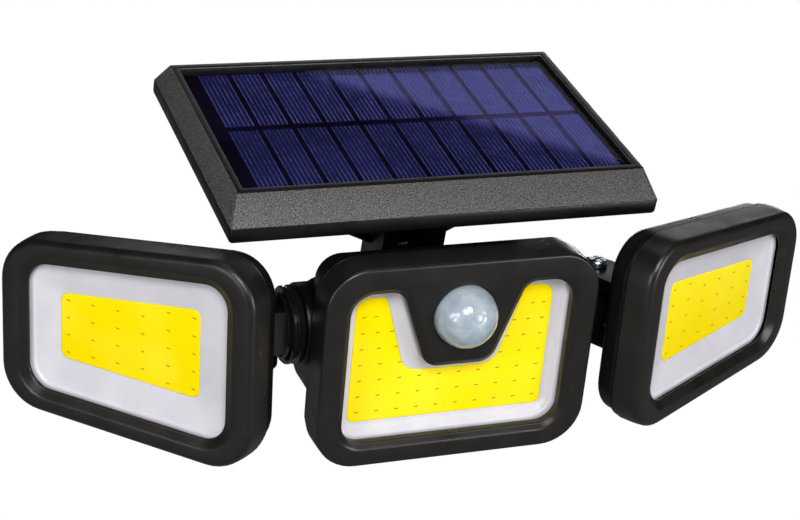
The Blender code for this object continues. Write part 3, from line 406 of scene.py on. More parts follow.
FINISH = {
    **{name: moulded_plastic(f"{name}_plastic", *values) for name, values in PLASTICS.items()},
    "white": surface("reflector_white", *WHITE, Specular_IOR_Level=0.35, Subsurface_Weight=0.15,
                     Subsurface_Scale=0.002),
    "phosphor": phosphor_yellow(),
    "mark": surface("chip_mark", *MARK),
    "window": clear_sheet("window_clear", (1.0, 1.0, 1.0), 0.2, 0.03, 1.3),
    "glass": clear_sheet("glass_clear", (0.97, 0.975, 1.0), 0.25, 0.015, 1.45),
    "lens": surface("milky_lens", *LENS, Specular_IOR_Level=0.7, **MILKY, **COAT),
    "cell": tinted_sheen("cell_blue", *CELL),
    "backing": tinted_sheen("cell_backing", *BACKING),
    "silver": surface("cell_silver", *SILVER, Metallic=0.3),
    "steel": zinc_steel(),
    "seal": surface("seal_silicone", *SEAL),
    "button": surface("button_silicone", *BUTTON),
    "board": surface("board_green", *BOARD),
    "wrap": surface("battery_wrap", *WRAP, Coat_Weight=0.4),
}
SLOT_FINISH = {
    "black_plastic": "shell",
    "grained_plastic": "grain",
    "white_reflector": "white",
    "phosphor": "phosphor",
    "clear_plastic": "window",
    "milky_lens": "lens",
    "solar_cells": "backing",
    "glass": "glass",
    "steel": "steel",
    "silicone": "seal",
    "circuit_board": "board",
    "battery_wrap": "wrap",
}


# --- Outlines
def inset_corners(corners, inset):
    """Move each side of a counter-clockwise polygon inwards by inset and meet them again."""
    count = len(corners)
    lines = []
    for i in range(count):
        a, b = Vector(corners[i]), Vector(corners[(i + 1) % count])
        along = (b - a).normalized()
        lines.append((a + Vector((-along.y, along.x)) * inset, along))
    moved = []
    for i in range(count):
        (p, u), (q, v) = lines[i - 1], lines[i]
        cross = u.x * v.y - u.y * v.x
        gap = q - p
        moved.append(p + u * ((gap.x * v.y - gap.y * v.x) / cross))
    return moved


def rounded(corners, radii, inset=0.0, steps=CORNER_STEPS):
    """A counter-clockwise polygon with arcs at its corners, moved inwards by inset."""
    count = len(corners)
    radii = list(radii) if isinstance(radii, (list, tuple)) else [radii] * count
    moved = inset_corners(corners, inset)
    points = []
    for i in range(count):
        here = moved[i]
        back = (moved[i - 1] - here).normalized()
        ahead = (moved[(i + 1) % count] - here).normalized()
        convex = ahead.x * back.y - ahead.y * back.x > 0.0
        radius = max(radii[i] - inset if convex else radii[i] + inset, 0.3)
        half = back.angle(ahead) / 2.0
        centre = here + (back + ahead).normalized() * (radius / math.sin(half))
        start = here + back * (radius / math.tan(half)) - centre
        sweep = (math.pi - 2.0 * half) * (1.0 if convex else -1.0)
        for k in range(steps + 1):
            c, s = math.cos(sweep * k / steps), math.sin(sweep * k / steps)
            points.append(centre + Vector((start.x * c - start.y * s, start.x * s + start.y * c)))
    return points


def corners_of(bounds):
    x0, x1, y0, y1 = bounds
    return [(x0, y0), (x1, y0), (x1, y1), (x0, y1)]


def rectangle(bounds, radius, inset=0.0, steps=4):
    return rounded(corners_of(bounds), radius, inset, steps)


def sections_of(corners, radii, rows):
    """Sections of one rounded outline at (inset, height) rows."""
    return [(rounded(corners, radii, inset), height) for inset, height in rows]


def raised(sections, rise):
    return [(points, height + rise) for points, height in sections]


def circle(centre, radius, steps=ROUND_STEPS):
    turns = [2.0 * math.pi * k / steps for k in range(steps)]
    return [Vector((centre[0] + radius * math.cos(t), centre[1] + radius * math.sin(t))) for t in turns]


def stadium(radius, reach, steps=20):
    """A half disc round the origin whose straight sides run on to y = -reach."""
    arc = [math.pi * k / steps for k in range(steps + 1)]
    ends = [Vector((-radius, -reach)), Vector((radius, -reach))]
    return [Vector((radius * math.cos(t), radius * math.sin(t))) for t in arc] + ends


def quarter(start, end, steps, bulge_first=True):
    """A quarter ellipse between two (inset, height) points; it leaves start along the inset."""
    points = []
    for k in range(steps + 1):
        t = math.pi / 2.0 * k / steps
        a, b = (math.sin(t), 1.0 - math.cos(t)) if bulge_first else (1.0 - math.cos(t), math.sin(t))
        points.append((start[0] + (end[0] - start[0]) * a, start[1] + (end[1] - start[1]) * b))
    return points


# --- Solids
def level(points, height, plane):
    if plane == "XZ":
        return [Vector((p.x, height, p.y)) for p in points]
    if plane == "XY":
        return [Vector((p.x, p.y, height)) for p in points]
    return [Vector((height, p.x, p.y)) for p in points]


def loft(loops, ring=False, shape=None):
    """Skin a list of 3-D loops with equal counts; ring closes the last loop to the first."""
    shape = shape or bmesh.new()
    rows = [[shape.verts.new(p) for p in loop] for loop in loops]
    pairs = list(zip(rows, rows[1:])) + ([(rows[-1], rows[0])] if ring else [])
    for low, high in pairs:
        skin(shape, low, high)
    if not ring:
        shape.faces.new(rows[0][::-1])
        shape.faces.new(rows[-1])
    return shape


def stack(sections, plane="XZ", ring=False, shape=None):
    """Skin a list of (outline, height) sections."""
    return loft([level(points, height, plane) for points, height in sections], ring, shape)


def prism(points, low, high, plane, shape=None):
    return stack([(points, low), (points, high)], plane, shape=shape)


def soft_prism(outline, low, high, plane, edge, steps=3):
    """A prism whose two rims are rounded; outline is a function of the inset."""
    rim = quarter((edge, 0.0), (0.0, edge), steps)
    sections = [(outline(inset), low + rise) for inset, rise in rim]
    sections += [(outline(inset), high - rise) for inset, rise in reversed(rim)]
    return stack(sections, plane)


def fill(shape, rows):
    """Triangulate the flat area inside the first loop of vertices and outside the others."""
    edges = []
    for row in rows:
        for i in range(len(row)):
            edges.append(shape.edges.get((row[i], row[(i + 1) % len(row)])))
    bmesh.ops.triangle_fill(shape, use_beauty=True, use_dissolve=False, edges=edges)


def skin(shape, low, high):
    """Faces between two closed rows of vertices; vertices that coincide at a pole count once."""
    for i in range(len(low)):
        j = (i + 1) % len(low)
        corners = list(dict.fromkeys((low[i], low[j], high[j], high[i])))
        if len(corners) > 2:
            shape.faces.new(corners)


def tubes(section_lists):
    """Walls from several lists of sections, with the flat areas between their ends filled."""
    shape = bmesh.new()
    fronts, backs = [], []
    for sections in section_lists:
        rows = [[shape.verts.new(p) for p in level(points, y, "XZ")] for points, y in sections]
        for low, high in zip(rows, rows[1:]):
            skin(shape, low, high)
        fronts.append(rows[0])
        backs.append(rows[-1])
    fill(shape, fronts)
    fill(shape, backs)
    return shape


def revolve(profile, steps=ROUND_STEPS):
    """Turn a profile of (radius, height) points about +Z; radius 0 makes a pole."""
    shape = bmesh.new()
    rows = []
    for radius, height in profile:
        if radius == 0.0:
            rows.append([shape.verts.new((0.0, 0.0, height))] * steps)
        else:
            loop = level(circle((0.0, 0.0), radius, steps), height, "XY")
            rows.append([shape.verts.new(p) for p in loop])
    pairs = list(zip(rows, rows[1:]))
    if profile[0][0] > 0.0:
        pairs.append((rows[-1], rows[0]))
    for low, high in pairs:
        skin(shape, low, high)
    return shape


def turned(shape, axis, place=(0.0, 0.0, 0.0)):
    """Turn a shape that stands along +Z so that it points along axis, then move it to place."""
    spin = Vector((0.0, 0.0, 1.0)).rotation_difference(Vector(axis)).to_matrix().to_4x4()
    bmesh.ops.transform(shape, matrix=Matrix.Translation(place) @ spin, verts=shape.verts)
    return shape


def rod(radius, low, high, axis, centre=(0.0, 0.0), steps=ROUND_STEPS):
    plane = {"x": "YZ", "y": "XZ", "z": "XY"}[axis]
    return prism(circle(centre, radius, steps), low, high, plane)


def mesh_of(name, shape, side=1.0):
    for vert in shape.verts:
        vert.co = Vector((vert.co.x * side, vert.co.y, vert.co.z)) * MM
    bmesh.ops.recalc_face_normals(shape, faces=shape.faces)
    mesh = bpy.data.meshes.new(name)
    shape.to_mesh(mesh)
    shape.free()
    return mesh


def linked(name, data):
    obj = bpy.data.objects.new(name, data)
    bpy.context.collection.objects.link(obj)
    return obj


def shift(x, y, z):
    """A move by millimetres."""
    return Matrix.Translation(Vector((x, y, z)) * MM)


def piece(name, shape, finish, body, place, nodes=(), side=1.0, unite=(), cut=(),
          angle=SHARP_ANGLE):
    """Make a named piece from a shape, unite and cut it with others, and hang it on its body.

    It stands in for the CAD nodes, which it hides.
    """
    obj = linked(name, mesh_of(name, shape, side))
    tools = []
    for operation, shapes in (("UNION", unite), ("DIFFERENCE", cut)):
        for other in shapes:
            tool = linked(f"{name}_tool", mesh_of(f"{name}_tool", other, side))
            step = obj.modifiers.new("join", "BOOLEAN")
            step.operation = operation
            step.object = tool
            step.solver = "EXACT"
            tools.append(tool)
    if tools:
        graph = bpy.context.evaluated_depsgraph_get()
        obj.data = bpy.data.meshes.new_from_object(obj.evaluated_get(graph))
        obj.modifiers.clear()
        for tool in tools:
            bpy.data.objects.remove(tool, do_unlink=True)
    obj.data.shade_smooth()
    obj.data.set_sharp_from_angle(angle=math.radians(angle))
    obj.data.materials.clear()
    for one in finish if isinstance(finish, list) else [finish]:
        obj.data.materials.append(FINISH[one])
    obj.matrix_world = place
    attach(obj, body)
    if nodes:
        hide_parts(*nodes)
    return obj


# --- Screws
BACKWARDS = Matrix.Rotation(-math.pi / 2.0, 4, "X")  # turns a screw's head from +Z to the rear


def cross_screw(head_r, head_h, shank_r, shank_l):
    """A pan-head screw along +Z with a tapering cross recess: head above z = 0, shank below."""
    arm, half = head_r * 0.60, head_r * 0.14
    corner = math.atan2(half, arm)
    inner = [corner * 0.5, corner, (corner + math.pi / 4.0) / 2.0]
    base = [0.0] + inner + [math.pi / 4.0] + [math.pi / 2.0 - t for t in reversed(inner)]
    turns = [part * math.pi / 2.0 + t for part in range(4) for t in base]

    def disc(radius, height):
        return [Vector((radius * math.cos(t), radius * math.sin(t), height)) for t in turns]

    def cross(height, scale):
        loop = []
        for t in turns:
            c, s = abs(math.cos(t)) + 1e-9, abs(math.sin(t)) + 1e-9
            reach = scale * max(min(arm / c, half / s), min(half / c, arm / s))
            loop.append(Vector((reach * math.cos(t), reach * math.sin(t), height)))
        return loop

    loops = [disc(shank_r * 0.6, -shank_l), disc(shank_r, -shank_l + 0.8), disc(shank_r, 0.0)]
    loops += [disc(head_r * 0.96, 0.0), disc(head_r, head_h * 0.08)]
    for k in range(6):
        t = math.pi / 2.0 * k / 6.5
        radius = head_r * (0.70 + 0.30 * math.cos(t))
        loops.append(disc(radius, head_h * (0.3 + 0.66 * math.sin(t))))
    loops += [cross(head_h * 0.985, 1.0), cross(head_h * 0.25, 0.72)]
    return loft(loops)


def screw(node, size, body, place):
    piece(node + "_look", cross_screw(*size), "steel", body, place, [node])


def hex_nut(node, across, thick, bore, body, place):
    """A hexagon nut along +Z with its corners turned off and a bore."""
    def loop(radius, height, corner_cut):
        points = []
        for k in range(36):
            t = 2.0 * math.pi * k / 36
            flat = across / 2.0 / math.cos((t % (math.pi / 3.0)) - math.pi / 6.0)
            reach = min(flat, across / 2.0 * corner_cut) if radius is None else radius
            points.append(Vector((reach * math.cos(t), reach * math.sin(t), height)))
        return points

    rows = [(bore, 0.0, 1.0), (None, 0.0, 1.02), (None, 0.5, 1.2), (None, thick - 0.5, 1.2)]
    rows += [(None, thick, 1.02), (bore + 0.3, thick, 1.0), (bore, thick - 0.4, 1.0)]
    shape = loft([loop(*row) for row in rows], ring=True)
    piece(node + "_look", shape, "steel", body, place, [node])


# --- Solar panel
PANEL_BODY = "panel_and_bracket"


def build_panel_frame(place):
    """Frame with a wide sloping bevel, a narrow lip round the glass and a ledge under it."""
    low, lip, ledge = -PANEL_DEPTH, LIP_WIDTH, -LIP_DROP - LEDGE_DROP
    sections = []
    for inset, height in quarter((1.4, low), (0.0, low + 1.6), 4):
        sections.append((rectangle(PANEL_BASE, PANEL_BASE_R, inset), height))
    foot, crest = (mix_bounds(PANEL_BASE, PANEL_TOP, share) for share in (0.03, 0.98))
    sections.append((rectangle(PANEL_BASE, PANEL_BASE_R), -BEVEL_DROP - 0.15))
    sections.append((rectangle(foot, PANEL_BASE_R), -BEVEL_DROP + 0.15))
    sections.append((rectangle(crest, PANEL_TOP_R), -0.2))
    rows = [(0.3, 0.0), (lip - 0.5, 0.0), (lip - 0.15, -0.12), (lip, -0.45), (lip, ledge)]
    rows += [(lip + LEDGE_WIDTH, ledge), (lip + LEDGE_WIDTH, ledge - LEDGE_THICK)]
    rows += [(lip - 0.6, ledge - LEDGE_THICK)]
    sections += [(rectangle(PANEL_TOP, PANEL_TOP_R, inset), height) for inset, height in rows]
    inner = rectangle(PANEL_BASE, PANEL_BASE_R, FRAME_WALL)
    sections += [(inner, -BEVEL_DROP - 0.4), (inner, low)]
    shape = stack(sections, "XY", ring=True)
    obj = piece("panel_frame_look", shape, ["grain", "shell"], PANEL_BODY, place, ["panel_frame"],
                angle=50.0)
    # The upward-sloping bevel takes the grey grain finish, a painted highlight of the light's sheen on it; the
    # lower wall and the lip take the darker shell finish, a painted shade, so the two are lit and shaded copies of
    # the frame's plastic
    for face in obj.data.polygons:
        painted_sheen_face = 0.3 < face.normal.z < 0.9 and -BEVEL_DROP < face.center.z / MM < -0.1
        face.material_index = 0 if painted_sheen_face else 1


def mix_bounds(a, b, share):
    return tuple(x + (y - x) * share for x, y in zip(a, b))


def build_glass(place):
    """Cover glass with a ground chamfer that catches light along its edges."""
    top, edge, chamfer = -LIP_DROP, LIP_WIDTH + GAP, 0.45
    rows = [(edge, top - APPARENT_DEPTH), (edge, top - chamfer), (edge + chamfer, top)]
    shape = stack([(rectangle(PANEL_TOP, PANEL_TOP_R, inset), height) for inset, height in rows], "XY")
    piece("panel_glass_look", shape, "glass", PANEL_BODY, place, ["panel_glass"], angle=10.0)


def cell_boxes():
    """(x0, x1, y0, y1) of each cell in the panel frame."""
    x0, x1, y0, y1 = CELL_MARGINS
    deep = (y1 - y0 - ROW_GAP) / CELL_ROWS
    wide = (x1 - x0 - COLUMN_GAP * (CELL_COLUMNS - 1)) / CELL_COLUMNS
    for row in range(CELL_ROWS):
        for column in range(CELL_COLUMNS):
            left = x0 + column * (wide + COLUMN_GAP)
            front = y0 + row * (deep + ROW_GAP)
            yield left, left + wide, front, front + deep


def build_cells(place):
    top = -LIP_DROP - APPARENT_DEPTH
    sheet = rectangle(PANEL_TOP, PANEL_TOP_R, LIP_WIDTH + GAP)
    shape = prism(sheet, top - 2.0, top - 0.25, "XY")
    piece("cell_backing_sheet", shape, "backing", PANEL_BODY, place, ["solar_cells"])
    cells, fingers = bmesh.new(), bmesh.new()
    for x0, x1, y0, y1 in cell_boxes():
        prism(rectangle((x0, x1, y0, y1), 0.31, steps=2), top - 0.24, top - 0.1, "XY", cells)
        for k in range(FINGERS):
            x = x0 + 0.5 + k * (x1 - x0 - 1.0) / (FINGERS - 1)
            strip = (x - FINGER_HALF, x + FINGER_HALF, y0 + 0.4, y1 - 0.4)
            prism(rectangle(strip, 0.1, steps=1), top - 0.09, top - 0.04, "XY", fingers)
    piece("solar_cell_slabs", cells, "cell", PANEL_BODY, place)
    piece("cell_finger_lines", fingers, "silver", PANEL_BODY, place)


def build_panel():
    place = panel_frame()
    build_panel_frame(place)
    build_glass(place)
    build_cells(place)


# --- Light stack
def blend_loops(a, b, share):
    return [p + (q - p) * share for p, q in zip(a, b)]


def build_tray(prefix, window, window_r, light, light_r, y, body, place, side):
    """White tray: rounded rim, a shallow groove, then walls that slope down to the light area."""
    sections = sections_of(window, window_r, [(-1.2, TRAY_FRONT), (-1.2, TRAY_BACK)])
    sections += sections_of(light, light_r, [(-0.1, TRAY_BACK), (-0.1, 0.25), (-1.2, 0.05)])
    groove, near = rounded(window, window_r, 1.5), rounded(light, light_r, -1.2)
    sections += [(blend_loops(groove, near, share), -1.65 + 1.6 * share) for share in (0.66, 0.33)]
    rows = [(1.5, -1.65), (1.15, -1.75), (0.85, -2.1), (0.5, -2.4), (0.0, TRAY_FRONT)]
    sections += sections_of(window, window_r, rows)
    shape = stack(raised(sections, y), ring=True)
    piece(f"{prefix}_tray", shape, "white", body, place, [f"{prefix}_reflector"], side=side)


def build_phosphor(prefix, light, light_r, y, body, place, side):
    rows = [(0.0, PHOSPHOR_BACK)] + quarter((0.0, 0.25), (0.4, 0.0), 4, False)
    shape = stack(raised(sections_of(light, light_r, rows), y))
    name = f"{prefix}_phosphor"
    piece(name + "_pad", shape, "phosphor", body, place, [name], side=side)


def build_marks(name, spots, length, y, body, place, side):
    """Small dark bond marks over the light chips, as low closed lozenges."""
    shape = bmesh.new()
    half, wide, narrow = length / 2.0, MARK_HALF, MARK_HALF * 0.4
    for x, z in spots:
        loop = [Vector((x - half, z - wide)), Vector((x + half, z - narrow))]
        loop += [Vector((x + half, z + wide)), Vector((x - half, z + narrow))]
        prism(loop, y - 0.05, y + 0.2, "XZ", shape)
    piece(name, shape, "mark", body, place, side=side)


def build_window(prefix, window, window_r, y, body, place, side):
    def outline(inset):
        return rounded(window, window_r, inset - 1.8)

    front, back = WINDOW_Y
    shape = soft_prism(outline, y + front, y + back, "XZ", 0.25, 2)
    name = f"{prefix}_window"
    piece(name + "_sheet", shape, "window", body, place, [name], side=side)


# --- Centre lamp
LAMP_BODY = "centre_lamp"


def horned(half, low, top, horn, notch_half, notch):
    """A U-shaped outline, counter-clockwise from its lower left corner."""
    right = [(half, low), (half, top), (horn, top), (notch_half, notch)]
    return [(-half, low)] + right + [(-x, z) for x, z in right[:0:-1]]


CENTRE_WINDOW = horned(42.5, -30.6, 28.0, 23.8, 12.6, -2.4)
CENTRE_WINDOW_R = [8.0, 8.0, 8.5, 6.0, 7.0, 7.0, 6.0, 8.5]
CENTRE_LIGHT = horned(38.0, -25.9, 23.0, 26.8, 17.6, -7.1)
CENTRE_LIGHT_R = [2.5, 2.5, 5.0, 2.5, 7.0, 7.0, 2.5, 5.0]
CENTRE_OUTLINE = corners_of(CENTRE_BOUNDS)


def outer_wall(outline, radius, edge, draft, face, back):
    """Sections of a shell's outside: rounded front edge, then a wall with a little draft."""
    rows = quarter((edge + draft, face), (draft, face + edge), 7)
    rows += [(draft * 0.3, (face + back) / 2.0), (0.0, back - 0.35), (0.3, back)]
    return sections_of(outline, radius, rows)


def crease(obj, y):
    """Draw the edges at one depth sharp: the foot of the slope, where the lip starts."""
    points = obj.data.vertices
    for edge in obj.data.edges:
        edge.use_edge_sharp |= all(abs(points[i].co.y / MM - y) < 0.01 for i in edge.vertices)


def recess(window, radii, reach, face, lip, back):
    """Sections of the opening: soft edge on the face, slope, rounded lip, then the inner wall."""
    rows = [(-reach - 0.8, face), (-reach - 0.3, face + 0.1), (-reach + 0.2, face + 0.4)]
    rows += quarter((-0.55, lip - LIP_SOFT), (0.0, lip + 0.4), 3)
    return sections_of(window, radii, rows + [(0.0, back)])


def rear_rim(outline, radius, seam):
    """Sections of a rear shell's rim, from its inner edge at the seam round to its back."""
    rim = seam + SEAM_RIM
    rows = [(WALL, seam), (0.8, seam), (LINE_IN, seam + 0.35), (LINE_IN, rim - 0.35), (0.8, rim)]
    return sections_of(outline, radius, rows)


def build_centre_bezel(place):
    outside = outer_wall(CENTRE_OUTLINE, CENTRE_R, 1.3, 0.2, FACE_Y, CENTRE_SEAM_Y)
    outside += sections_of(CENTRE_OUTLINE, CENTRE_R, [(WALL, CENTRE_SEAM_Y), (WALL, CENTRE_INNER_Y)])
    opening = recess(CENTRE_WINDOW, CENTRE_WINDOW_R, 2.0, FACE_Y, CENTRE_LIP_Y, CENTRE_INNER_Y)
    hole = PIR_R + GAP
    rows = [(hole + 0.35, FACE_Y), (hole, FACE_Y + 0.35), (hole, CENTRE_INNER_Y)]
    sensor = [(circle((0.0, PIR_Z), radius), y) for radius, y in rows]
    shape = tubes([outside, opening, sensor])
    bezel = piece("centre_bezel_look", shape, "face", LAMP_BODY, place, ["centre_bezel"])
    crease(bezel, CENTRE_LIP_Y - LIP_SOFT)


def housing_block(inset, y):
    half, low, top = HOUSING
    return rounded(corners_of((-half, half, low, top)), HOUSING_R, inset), y


def housing_cavity(y):
    half, low, top = HOUSING[0] - SIDE_WALL, HOUSING[1] + SIDE_WALL, HOUSING[2] - WALL
    return rounded(corners_of((-half, half, low, top)), CAVITY_R), y


def side_bosses():
    """Short cylinders at the housing's sides that the arms turn in."""
    profile = [(0.0, BOSS_START), (BOSS_R, BOSS_START), (BOSS_R, BOSS_END - 0.8)]
    profile += [(BOSS_R - 0.25, BOSS_END - 0.25), (BOSS_R - 0.8, BOSS_END), (0.0, BOSS_END)]
    return [turned(revolve(profile, 64), (side, 0.0, 0.0), (0.0, *ARM_AXIS)) for side in SIDES.values()]


def build_rear_housing(place):
    """Rear shell: rim, stepped tier with screw holes, deep block with side bosses, hinge tongue."""
    seam = CENTRE_SEAM_Y + GAP
    rim = seam + SEAM_RIM
    tier = corners_of(TIER_BOUNDS)
    sections = [housing_cavity(HOUSING_BACK - WALL), housing_cavity(SHOULDER_Y - WALL)]
    sections += sections_of(tier, TIER_R, [(WALL, SHOULDER_Y - WALL), (WALL, seam + 0.5)])
    sections += rear_rim(CENTRE_OUTLINE, CENTRE_R, seam)
    rows = [(-0.3, rim), (0.0, rim + 0.3)]
    rows += quarter((0.0, SHOULDER_Y - 1.0), (1.0, SHOULDER_Y), 5, False)
    sections += sections_of(tier, TIER_R, rows)
    rows = [(-0.2, SHOULDER_Y), (0.0, SHOULDER_Y + 0.4), (0.3, HOUSING_BACK - 5.0)]
    rows += quarter((0.3, HOUSING_BACK - 4.0), (4.3, HOUSING_BACK), 6, False)
    sections += [housing_block(inset, y) for inset, y in rows]
    y, z = TILT_AXIS
    tongue = [Vector((y + p.y, z + p.x)) for p in stadium(HINGE_R, y - HOUSING_BACK + 3.0)]
    tongue = prism(tongue, -TONGUE_HALF, TONGUE_HALF, "YZ")
    cuts = [rod(ARM_HOLE_R, -60.0, 60.0, "x", ARM_AXIS), rod(TILT_HOLE_R, -12.0, 12.0, "x", TILT_AXIS)]
    cuts.append(rod(BUTTON_R + GAP, HOUSING[1] - 2.0, HOUSING[1] + 6.0, "z", (0.0, BUTTON_Y)))
    cuts += [rod(SCREW_HOLE_R, seam - 1.0, SHOULDER_Y + 2.0, "y", spot, 20) for spot in CASE_SCREWS]
    nodes = ["centre_rear_housing"]
    piece("centre_rear_housing_look", stack(sections), "shell", LAMP_BODY, place, nodes,
          unite=side_bosses() + [tongue], cut=cuts)


def centre_spots():
    """Places of the light chips' marks in the U-shaped light area: three full rows, then the horns."""
    across, up = CENTRE_DOTS
    spots = [((i - 4.5) * across, CENTRE_DOT_LOW + j * up) for j in range(3) for i in range(10)]
    outermost = 34.7
    for j, columns in ((3, 3), (4, 3), (5, 3), (6, 2)):
        inner = 19.6 + (j - 3) * 2.1
        for k in range(columns):
            x = outermost - (outermost - inner) * k / 2.0
            spots += [(x, CENTRE_DOT_LOW + j * up), (-x, CENTRE_DOT_LOW + j * up)]
    return spots


def dome_arc(radius, steps, count):
    """Points of a quarter circle from the dome's foot, the first count of steps + 1."""
    turns = [math.pi / 2.0 * k / steps for k in range(count)]
    return [(radius * math.cos(t), radius * math.sin(t)) for t in turns]


def build_sensor(place):
    """Sensor dome: a hemisphere of small lens facets, each one slightly crowned."""
    inner, foot = PIR_R - PIR_WALL, -4.5
    profile = [(PIR_R, foot), (PIR_R, -0.4)] + dome_arc(PIR_R, 36, 36) + [(0.0, PIR_R), (0.0, inner)]
    profile += dome_arc(inner, 8, 8)[::-1] + [(inner, foot)]
    shape = revolve(profile, 96)
    centres = facet_centres()
    for vert in shape.verts:
        if vert.co.z > 0.5 and vert.co.length > PIR_R - 0.5:
            crown(vert, centres)
    turned(shape, (0.0, -1.0, 0.0))
    local = place @ shift(0.0, FACE_Y, PIR_Z)
    piece("pir_lens_look", shape, "lens", LAMP_BODY, local, ["pir_lens"], angle=60.0)


def facet_centres():
    """Unit directions of the dome's lens facets: one on top, then rings of more and more."""
    centres = [Vector((0.0, 0.0, 1.0))]
    for ring, count in enumerate(FACET_RINGS, 1):
        tilt = math.radians(ring * FACET_TILT)
        for k in range(count):
            turn = 2.0 * math.pi * (k + 0.5 * (ring % 2)) / count
            out = math.sin(tilt)
            centres.append(Vector((out * math.cos(turn), out * math.sin(turn), math.cos(tilt))))
    return centres


def crown(vert, centres):
    """Sink a dome point towards the seams between facets."""
    direction = vert.co.normalized()
    angles = sorted(direction.angle(centre) for centre in centres)[:2]
    ridge = min((angles[1] - angles[0]) / FACET_SEAM, 1.0)
    vert.co = direction * (PIR_R - FACET_DEPTH * (1.0 - ridge) ** 2)


def build_button(place):
    """Silicone button: crowned end, straight side, collar that keeps it in, stem."""
    collar, stem = BUTTON_R + 1.2, 1.5
    profile = [(0.0, -2.0), (BUTTON_R - 1.6, -1.95), (BUTTON_R - 0.8, -1.8), (BUTTON_R - 0.25, -1.5)]
    profile += [(BUTTON_R, -1.0), (BUTTON_R, 4.3), (collar, 4.3), (collar, 5.2), (stem, 5.2)]
    profile += [(stem, 6.2), (0.0, 6.2)]
    local = place @ shift(0.0, BUTTON_Y, HOUSING[1])
    piece("mode_button_look", revolve(profile), "button", "button", local, ["mode_button"])


def build_centre_lamp():
    place = lamp_frame()
    build_centre_bezel(place)
    build_rear_housing(place)
    args = (LAMP_BODY, place, 1.0)
    build_window("centre", CENTRE_WINDOW, CENTRE_WINDOW_R, 0.0, *args)
    build_tray("centre", CENTRE_WINDOW, CENTRE_WINDOW_R, CENTRE_LIGHT, CENTRE_LIGHT_R, 0.0, *args)
    build_phosphor("centre", CENTRE_LIGHT, CENTRE_LIGHT_R, 0.0, *args)
    build_marks("centre_chip_marks", centre_spots(), CENTRE_MARK, 0.0, *args)
    build_sensor(place)
    build_button(place)
    for number, (x, z) in enumerate(CASE_SCREWS, 1):
        spot = place @ shift(x, SHOULDER_Y + GAP, z) @ BACKWARDS
        screw(f"centre_case_screw_{number}", CASE_SCREW, LAMP_BODY, spot)


# --- Arms and side heads
def build_arm(side):
    """Arm: shaft in the boss, flange with a grooved rim, neck, flat tongue with the hinge hole."""
    sign, place = SIDES[side], arm_frame(side)
    flange = BOSS_END + GAP - JOINTS[f"{side}_head_yaw"]["pos_m"][0] * sign / MM
    shaft_end, neck_end = -24.6, -9.8
    profile = [(0.0, shaft_end), (7.6, shaft_end), (8.0, shaft_end + 0.4)]
    rim = [(8.0, 0.0), (13.4, 0.0), (14.1, 0.3), (14.3, 0.9), (14.3, 1.6), (13.7, 2.0), (13.7, 3.0)]
    rim += [(14.2, 3.4), (14.2, 4.2), (13.7, 4.8), (12.6, 5.0), (11.9, 5.2), (11.5, 5.8)]
    profile += [(radius, flange + along) for radius, along in rim]
    profile += [(11.5, neck_end - 0.5), (11.2, neck_end), (0.0, neck_end)]
    shape = turned(revolve(profile, 72), (1.0, 0.0, 0.0))
    arc = [-math.pi / 2.0 + math.pi * k / 24 for k in range(25)]
    tongue = [Vector((TONGUE_R * math.cos(t), TONGUE_R * math.sin(t))) for t in arc]
    tongue += [Vector((neck_end - 0.6, TONGUE_R)), Vector((neck_end - 0.6, -TONGUE_R))]
    tongue = prism(tongue, -EAR_IN + GAP, EAR_IN - GAP, "XY")
    cuts = [rod(HINGE_HOLE_R, -12.0, 12.0, "z"), rod(HINGE_HOLE_R, -26.0, -16.0, "x")]
    piece(f"{side}_arm_look", shape, "gloss", f"{side}_arm_body", place, [f"{side}_arm"],
          side=sign, unite=[tongue], cut=cuts)


def build_head_bezel(side, body, place):
    sections = outer_wall(HEAD_OUTLINE, HEAD_R, 2.6, 0.5, HEAD_FACE_Y, HEAD_SEAM_Y)
    sections += sections_of(HEAD_OUTLINE, HEAD_R, [(WALL, HEAD_SEAM_Y), (WALL + 0.6, HEAD_INNER_Y)])
    pocket = HEAD_INNER_Y - 0.35
    sections += sections_of(HEAD_WINDOW, HEAD_WINDOW_R, [(-2.6, HEAD_INNER_Y), (-2.6, pocket)])
    sections += recess(HEAD_WINDOW, HEAD_WINDOW_R, 3.0, HEAD_FACE_Y, HEAD_LIP_Y, pocket)[::-1]
    shape = stack(raised(sections, HEAD_LIGHT_Y), ring=True)
    nodes = [f"{side}_bezel"]
    bezel = piece(f"{side}_bezel_look", shape, "face", body, place, nodes, side=SIDES[side])
    crease(bezel, HEAD_LIP_Y - LIP_SOFT + HEAD_LIGHT_Y)


def build_rear_shell(side, body, place):
    """Rear shell of a head: rim, stepped back with rounded edges, two ears for the hinge screw."""
    seam, inner = HEAD_SEAM_Y + GAP, HEAD_BACK_Y - WALL
    rim = seam + SEAM_RIM
    sections = sections_of(HEAD_OUTLINE, HEAD_R, [(6.5, inner), (4.2, inner - 2.5), (3.9, seam + 1.0)])
    sections += rear_rim(HEAD_OUTLINE, HEAD_R, seam)
    rows = [(1.6, rim + 0.15), (1.8, HEAD_BACK_Y - 4.0)]
    rows += quarter((1.8, HEAD_BACK_Y - 3.6), (5.5, HEAD_BACK_Y), 7, False)
    sections += sections_of(HEAD_OUTLINE, HEAD_R, rows)
    back = HEAD_BACK_Y + HEAD_LIGHT_Y
    ears = []
    for low, high in ((EAR_IN, EAR_TOP), (EAR_BOTTOM, -EAR_IN)):
        ears.append(soft_prism(lambda inset: stadium(EAR_R - inset, 1.0 - back), low, high, "XY", 0.8))
    cuts = [rod(HINGE_HOLE_R, EAR_BOTTOM - 1.0, EAR_TOP + 1.0, "z")]
    cuts += [rod(SCREW_HOLE_R, back - WALL - 1.0, back + 1.0, "y", spot, 20) for spot in HEAD_SCREWS]
    shape = stack(raised(sections, HEAD_LIGHT_Y))
    piece(f"{side}_rear_shell_look", shape, "shell", body, place, [f"{side}_rear_shell"],
          side=SIDES[side], unite=ears, cut=cuts)


